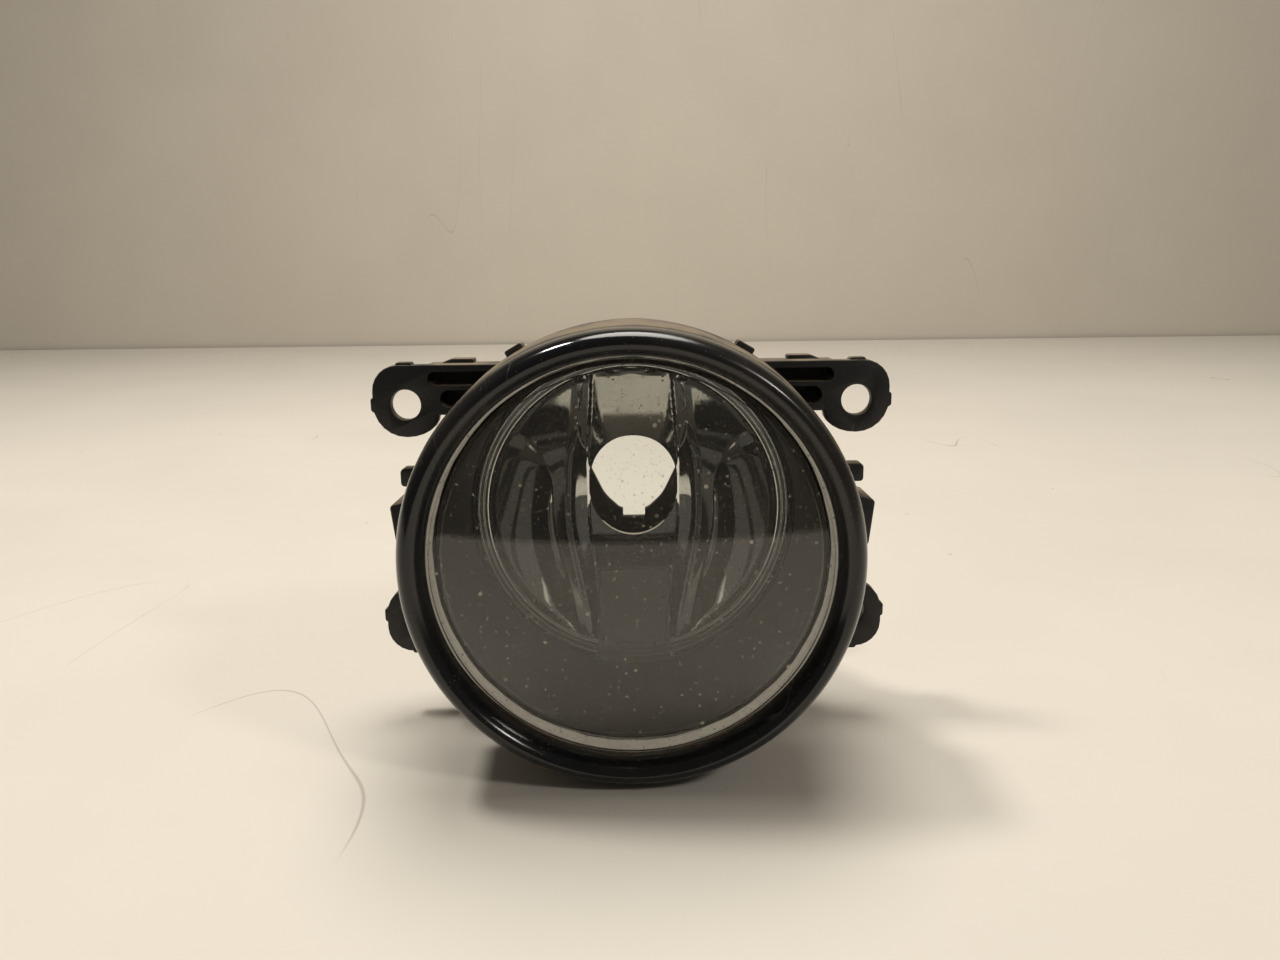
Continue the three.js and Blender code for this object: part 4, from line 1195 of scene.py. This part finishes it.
class FOGLIGHT_OT_bracket(bpy.types.Operator):
    """Build the four-eared bracket with its hoop, pivot blocks and adjuster rails"""

    bl_idname = "foglight.bracket"
    bl_label = "Mounting Bracket"

    def execute(self, context):
        scene = context.scene
        dust = scene.fog_housing.dust
        finish = dusty_moulding(
            "bracket black", [c * 0.55 for c in scene.fog_housing.black], dust, 0.0, 0.9)
        finished(bracket_shape(scene.fog_bracket), "bracket_frame", "bracket", "bracket_black",
                 finish, "mounting_bracket")
        return {"FINISHED"}


class FOGLIGHT_OT_bushes(bpy.types.Operator):
    """Build the two plain bushes that the lamp unit tilts in"""

    bl_idname = "foglight.bushes"
    bl_label = "Pivot Bushes"

    def execute(self, context):
        finish = natural_nylon("bush nylon")
        for side, word in ((-1, "left"), (1, "right")):
            finished(
                bush_shape(side), f"bush_{word}", "bracket", "white_nylon", finish,
                f"pivot_bush_{word}")
        return {"FINISHED"}


class FOGLIGHT_OT_housing(bpy.types.Operator):
    """Build the lamp housing with its skirt, ribs, trunnions, collar, fork and breather nipple"""

    bl_idname = "foglight.housing"
    bl_label = "Lamp Housing"

    def execute(self, context):
        sizes = context.scene.fog_housing
        finish = dusty_moulding("housing black", sizes.black, sizes.dust, 0.12, 1.0)
        finished(
            housing_shape(sizes, context.scene.fog_bowl), "housing_shell", "lamp", "housing_black",
            finish, "lamp_housing")
        return {"FINISHED"}


class FOGLIGHT_OT_bezel(bpy.types.Operator):
    """Build the gloss black ring round the lens"""

    bl_idname = "foglight.bezel"
    bl_label = "Front Bezel"

    def execute(self, context):
        scene = context.scene
        finish = gloss_moulding(
            "bezel gloss black", scene.fog_bezel.gloss_black, scene.fog_housing.dust)
        finished(
            bezel_shape(scene.fog_bezel), "bezel_ring", "lamp", "bezel_gloss_black", finish,
            "front_bezel")
        return {"FINISHED"}


class FOGLIGHT_OT_lens(bpy.types.Operator):
    """Build the clear domed lens"""

    bl_idname = "foglight.lens"
    bl_label = "Lens"

    def execute(self, context):
        sizes = context.scene.fog_lens
        finish = dusty_glass("lens glass", sizes.tint)
        finished(lens_shape(sizes), "lens_glass", "lamp", "lens_glass", finish, "lens")
        return {"FINISHED"}


class FOGLIGHT_OT_seal(bpy.types.Operator):
    """Build the pale bead that bonds the lens to the housing"""

    bl_idname = "foglight.seal"
    bl_label = "Lens Seal"

    def execute(self, context):
        finished(
            seal_shape(), "seal_bead", "lamp", "pale_sealant", pale_bead("sealing bead"),
            "lens_seal")
        return {"FINISHED"}


class FOGLIGHT_OT_trim(bpy.types.Operator):
    """Build the dark tube between the lens and the reflector"""

    bl_idname = "foglight.trim"
    bl_label = "Inner Trim Ring"

    def execute(self, context):
        dust = context.scene.fog_housing.dust
        finish = speckled_moulding("trim grey", (0.030, 0.026, 0.020), dust, 0.05)
        finished(trim_shape(), "trim_tube", "lamp", "trim_grey", finish, "inner_trim_ring")
        return {"FINISHED"}


class FOGLIGHT_OT_reflector(bpy.types.Operator):
    """Build the mirror bowl with its upright flutes and stepped rim"""

    bl_idname = "foglight.reflector"
    bl_label = "Reflector"

    def execute(self, context):
        sizes = context.scene.fog_bowl
        finish = mirror_face("mirror", sizes.silver, context.scene.fog_housing.dust)
        finished(
            reflector_shape(sizes), "mirror_bowl", "lamp", "reflector_mirror", finish, "reflector")
        return {"FINISHED"}


class FOGLIGHT_OT_seat(bpy.types.Operator):
    """Build the bulb's seat with its keyed hole"""

    bl_idname = "foglight.seat"
    bl_label = "Bulb Seat"

    def execute(self, context):
        finish = speckled_moulding(
            "seat grey", (0.022, 0.020, 0.017), context.scene.fog_housing.dust, 0.08)
        finished(seat_shape(), "bulb_socket_ring", "lamp", "seat_grey", finish, "bulb_seat")
        return {"FINISHED"}


class FOGLIGHT_OT_elbow(bpy.types.Operator):
    """Build the rubber elbow on the breather nipple"""

    bl_idname = "foglight.elbow"
    bl_label = "Breather Elbow"

    def execute(self, context):
        finished(
            elbow_shape(), "breather_hose", "lamp", "black_rubber", rubber("elbow rubber"),
            "breather_elbow")
        return {"FINISHED"}


class FOGLIGHT_OT_adjuster(bpy.types.Operator):
    """Build the adjuster screw, its retainer and its nut"""

    bl_idname = "foglight.adjuster"
    bl_label = "Adjuster"

    def execute(self, context):
        steel = zinc_steel("zinc steel")
        finished(
            screw_shape(), "threaded_screw", "adjuster_screw", "screw_steel", steel,
            "adjuster_screw")
        finished(
            retainer_shape(), "star_washer", "adjuster_screw", "screw_steel", steel,
            "adjuster_retainer")
        finished(
            nut_shape(), "slide_nut", "adjuster_nut", "white_nylon", natural_nylon("nut nylon"),
            "adjuster_nut")
        return {"FINISHED"}


class FOGLIGHT_OT_stage(bpy.types.Operator):
    """Set up the pale floor and backdrop, the soft lights and the camera"""

    bl_idname = "foglight.stage"
    bl_label = "Stage"

    def execute(self, context):
        look = context.scene.fog_stage
        floor_z = cad_box[0].z
        wall_y = 1.37
        # The floor stops short of the backdrop, so the dark room shows through as a thin dark line
        # along their joint: a painted shadow line.
        joint_shadow_gap = 0.006
        half_width = 3.0
        front = -0.26
        floor = bmesh.new()
        bmesh.ops.create_grid(floor, x_segments=1, y_segments=1, size=1.0)
        bmesh.ops.scale(floor, vec=(half_width, (wall_y - joint_shadow_gap - front) / 2, 1), verts=floor.verts)
        turned(floor, -0.35, "Z")
        moved(floor, y=(wall_y - joint_shadow_gap + front) / 2, z=floor_z)
        board = placed_mesh(floor, "floor")
        board.data.materials.append(painted_board("pale floor", look.floor_colour, 0.8))
        wall = bmesh.new()
        bmesh.ops.create_grid(wall, x_segments=1, y_segments=1, size=half_width)
        turned(wall, 90, "X")
        moved(wall, z=half_width)
        turned(wall, -0.35, "Z")
        moved(wall, y=wall_y, z=floor_z - half_width / 4)
        backdrop = placed_mesh(wall, "backdrop")
        backdrop.data.materials.append(painted_board("pale wall", look.wall_colour, 0.6))
        world = bpy.data.worlds.new("room")
        world.use_nodes = True
        background = world.node_tree.nodes["Background"]
        background.inputs["Color"].default_value = (1.0, 0.93, 0.82, 1.0)
        background.inputs["Strength"].default_value = look.room_light
        context.scene.world = world
        middle = Vector((0, 0, AXIS_Z))
        for name, place, size, share in (
            ("soft_left", (-0.40, 0.12, 0.95), 0.16, 1.0),
            ("soft_right", (0.66, -0.52, 0.60), 0.14, 0.45),
            ("soft_wide", (0.05, 0.40, 1.6), 1.0, 4.6),
        ):
            light = bpy.data.lights.new(name, "AREA")
            light.shape = "DISK"
            light.size = size
            light.energy = look.lamp_power * share
            light.color = (1.0, 0.955, 0.885)
            holder = bpy.data.objects.new(name, light)
            holder.location = place
            holder.rotation_euler = (middle - Vector(place)).to_track_quat("-Z", "Y").to_euler()
            context.scene.collection.objects.link(holder)
        camera = bpy.data.cameras.new("camera")
        camera.sensor_width = 36.0
        camera.lens = 27.03
        camera.clip_start = 0.01
        holder = bpy.data.objects.new("camera", camera)
        holder.location = (mm(1.8), mm(-216.1), mm(52.2))
        pitch, yaw, roll = 90 - 11.8, 0.0, -0.7
        turn = Matrix.Rotation(math.radians(yaw), 3, "Z") @ Matrix.Rotation(
            math.radians(pitch), 3, "X")
        holder.rotation_euler = (turn @ Matrix.Rotation(math.radians(roll), 3, "Z")).to_euler()
        context.scene.collection.objects.link(holder)
        context.scene.camera = holder
        context.scene.view_settings.view_transform = "Standard"
        return {"FINISHED"}


OPERATORS = (
    FOGLIGHT_OT_stage,
    FOGLIGHT_OT_bracket,
    FOGLIGHT_OT_bushes,
    FOGLIGHT_OT_housing,
    FOGLIGHT_OT_bezel,
    FOGLIGHT_OT_lens,
    FOGLIGHT_OT_seal,
    FOGLIGHT_OT_trim,
    FOGLIGHT_OT_reflector,
    FOGLIGHT_OT_seat,
    FOGLIGHT_OT_elbow,
    FOGLIGHT_OT_adjuster,
)


class FOGLIGHT_PT_panel(bpy.types.Panel):
    """Lists the fog light's pieces and their sizes"""

    bl_idname = "FOGLIGHT_PT_panel"
    bl_label = "Fog Light"
    bl_space_type = "VIEW_3D"
    bl_region_type = "UI"
    bl_category = "Fog Light"

    def draw(self, context):
        for operator in OPERATORS:
            self.layout.operator(operator.bl_idname)
        for name, group in SETTINGS.items():
            box = self.layout.box()
            for key in group.__annotations__:
                box.prop(getattr(context.scene, name), key)


def register():
    for group in SETTINGS.values():
        bpy.utils.register_class(group)
    for name, group in SETTINGS.items():
        setattr(bpy.types.Scene, name, PointerProperty(type=group))
    for operator in OPERATORS:
        bpy.utils.register_class(operator)
    bpy.utils.register_class(FOGLIGHT_PT_panel)


def unregister():
    bpy.utils.unregister_class(FOGLIGHT_PT_panel)
    for operator in reversed(OPERATORS):
        bpy.utils.unregister_class(operator)
    for name, group in SETTINGS.items():
        delattr(bpy.types.Scene, name)
        bpy.utils.unregister_class(group)


def main():
    register()
    for operator in OPERATORS:
        area, name = operator.bl_idname.split(".")
        getattr(getattr(bpy.ops, area), name)()


if __name__ == "__main__":
    main()
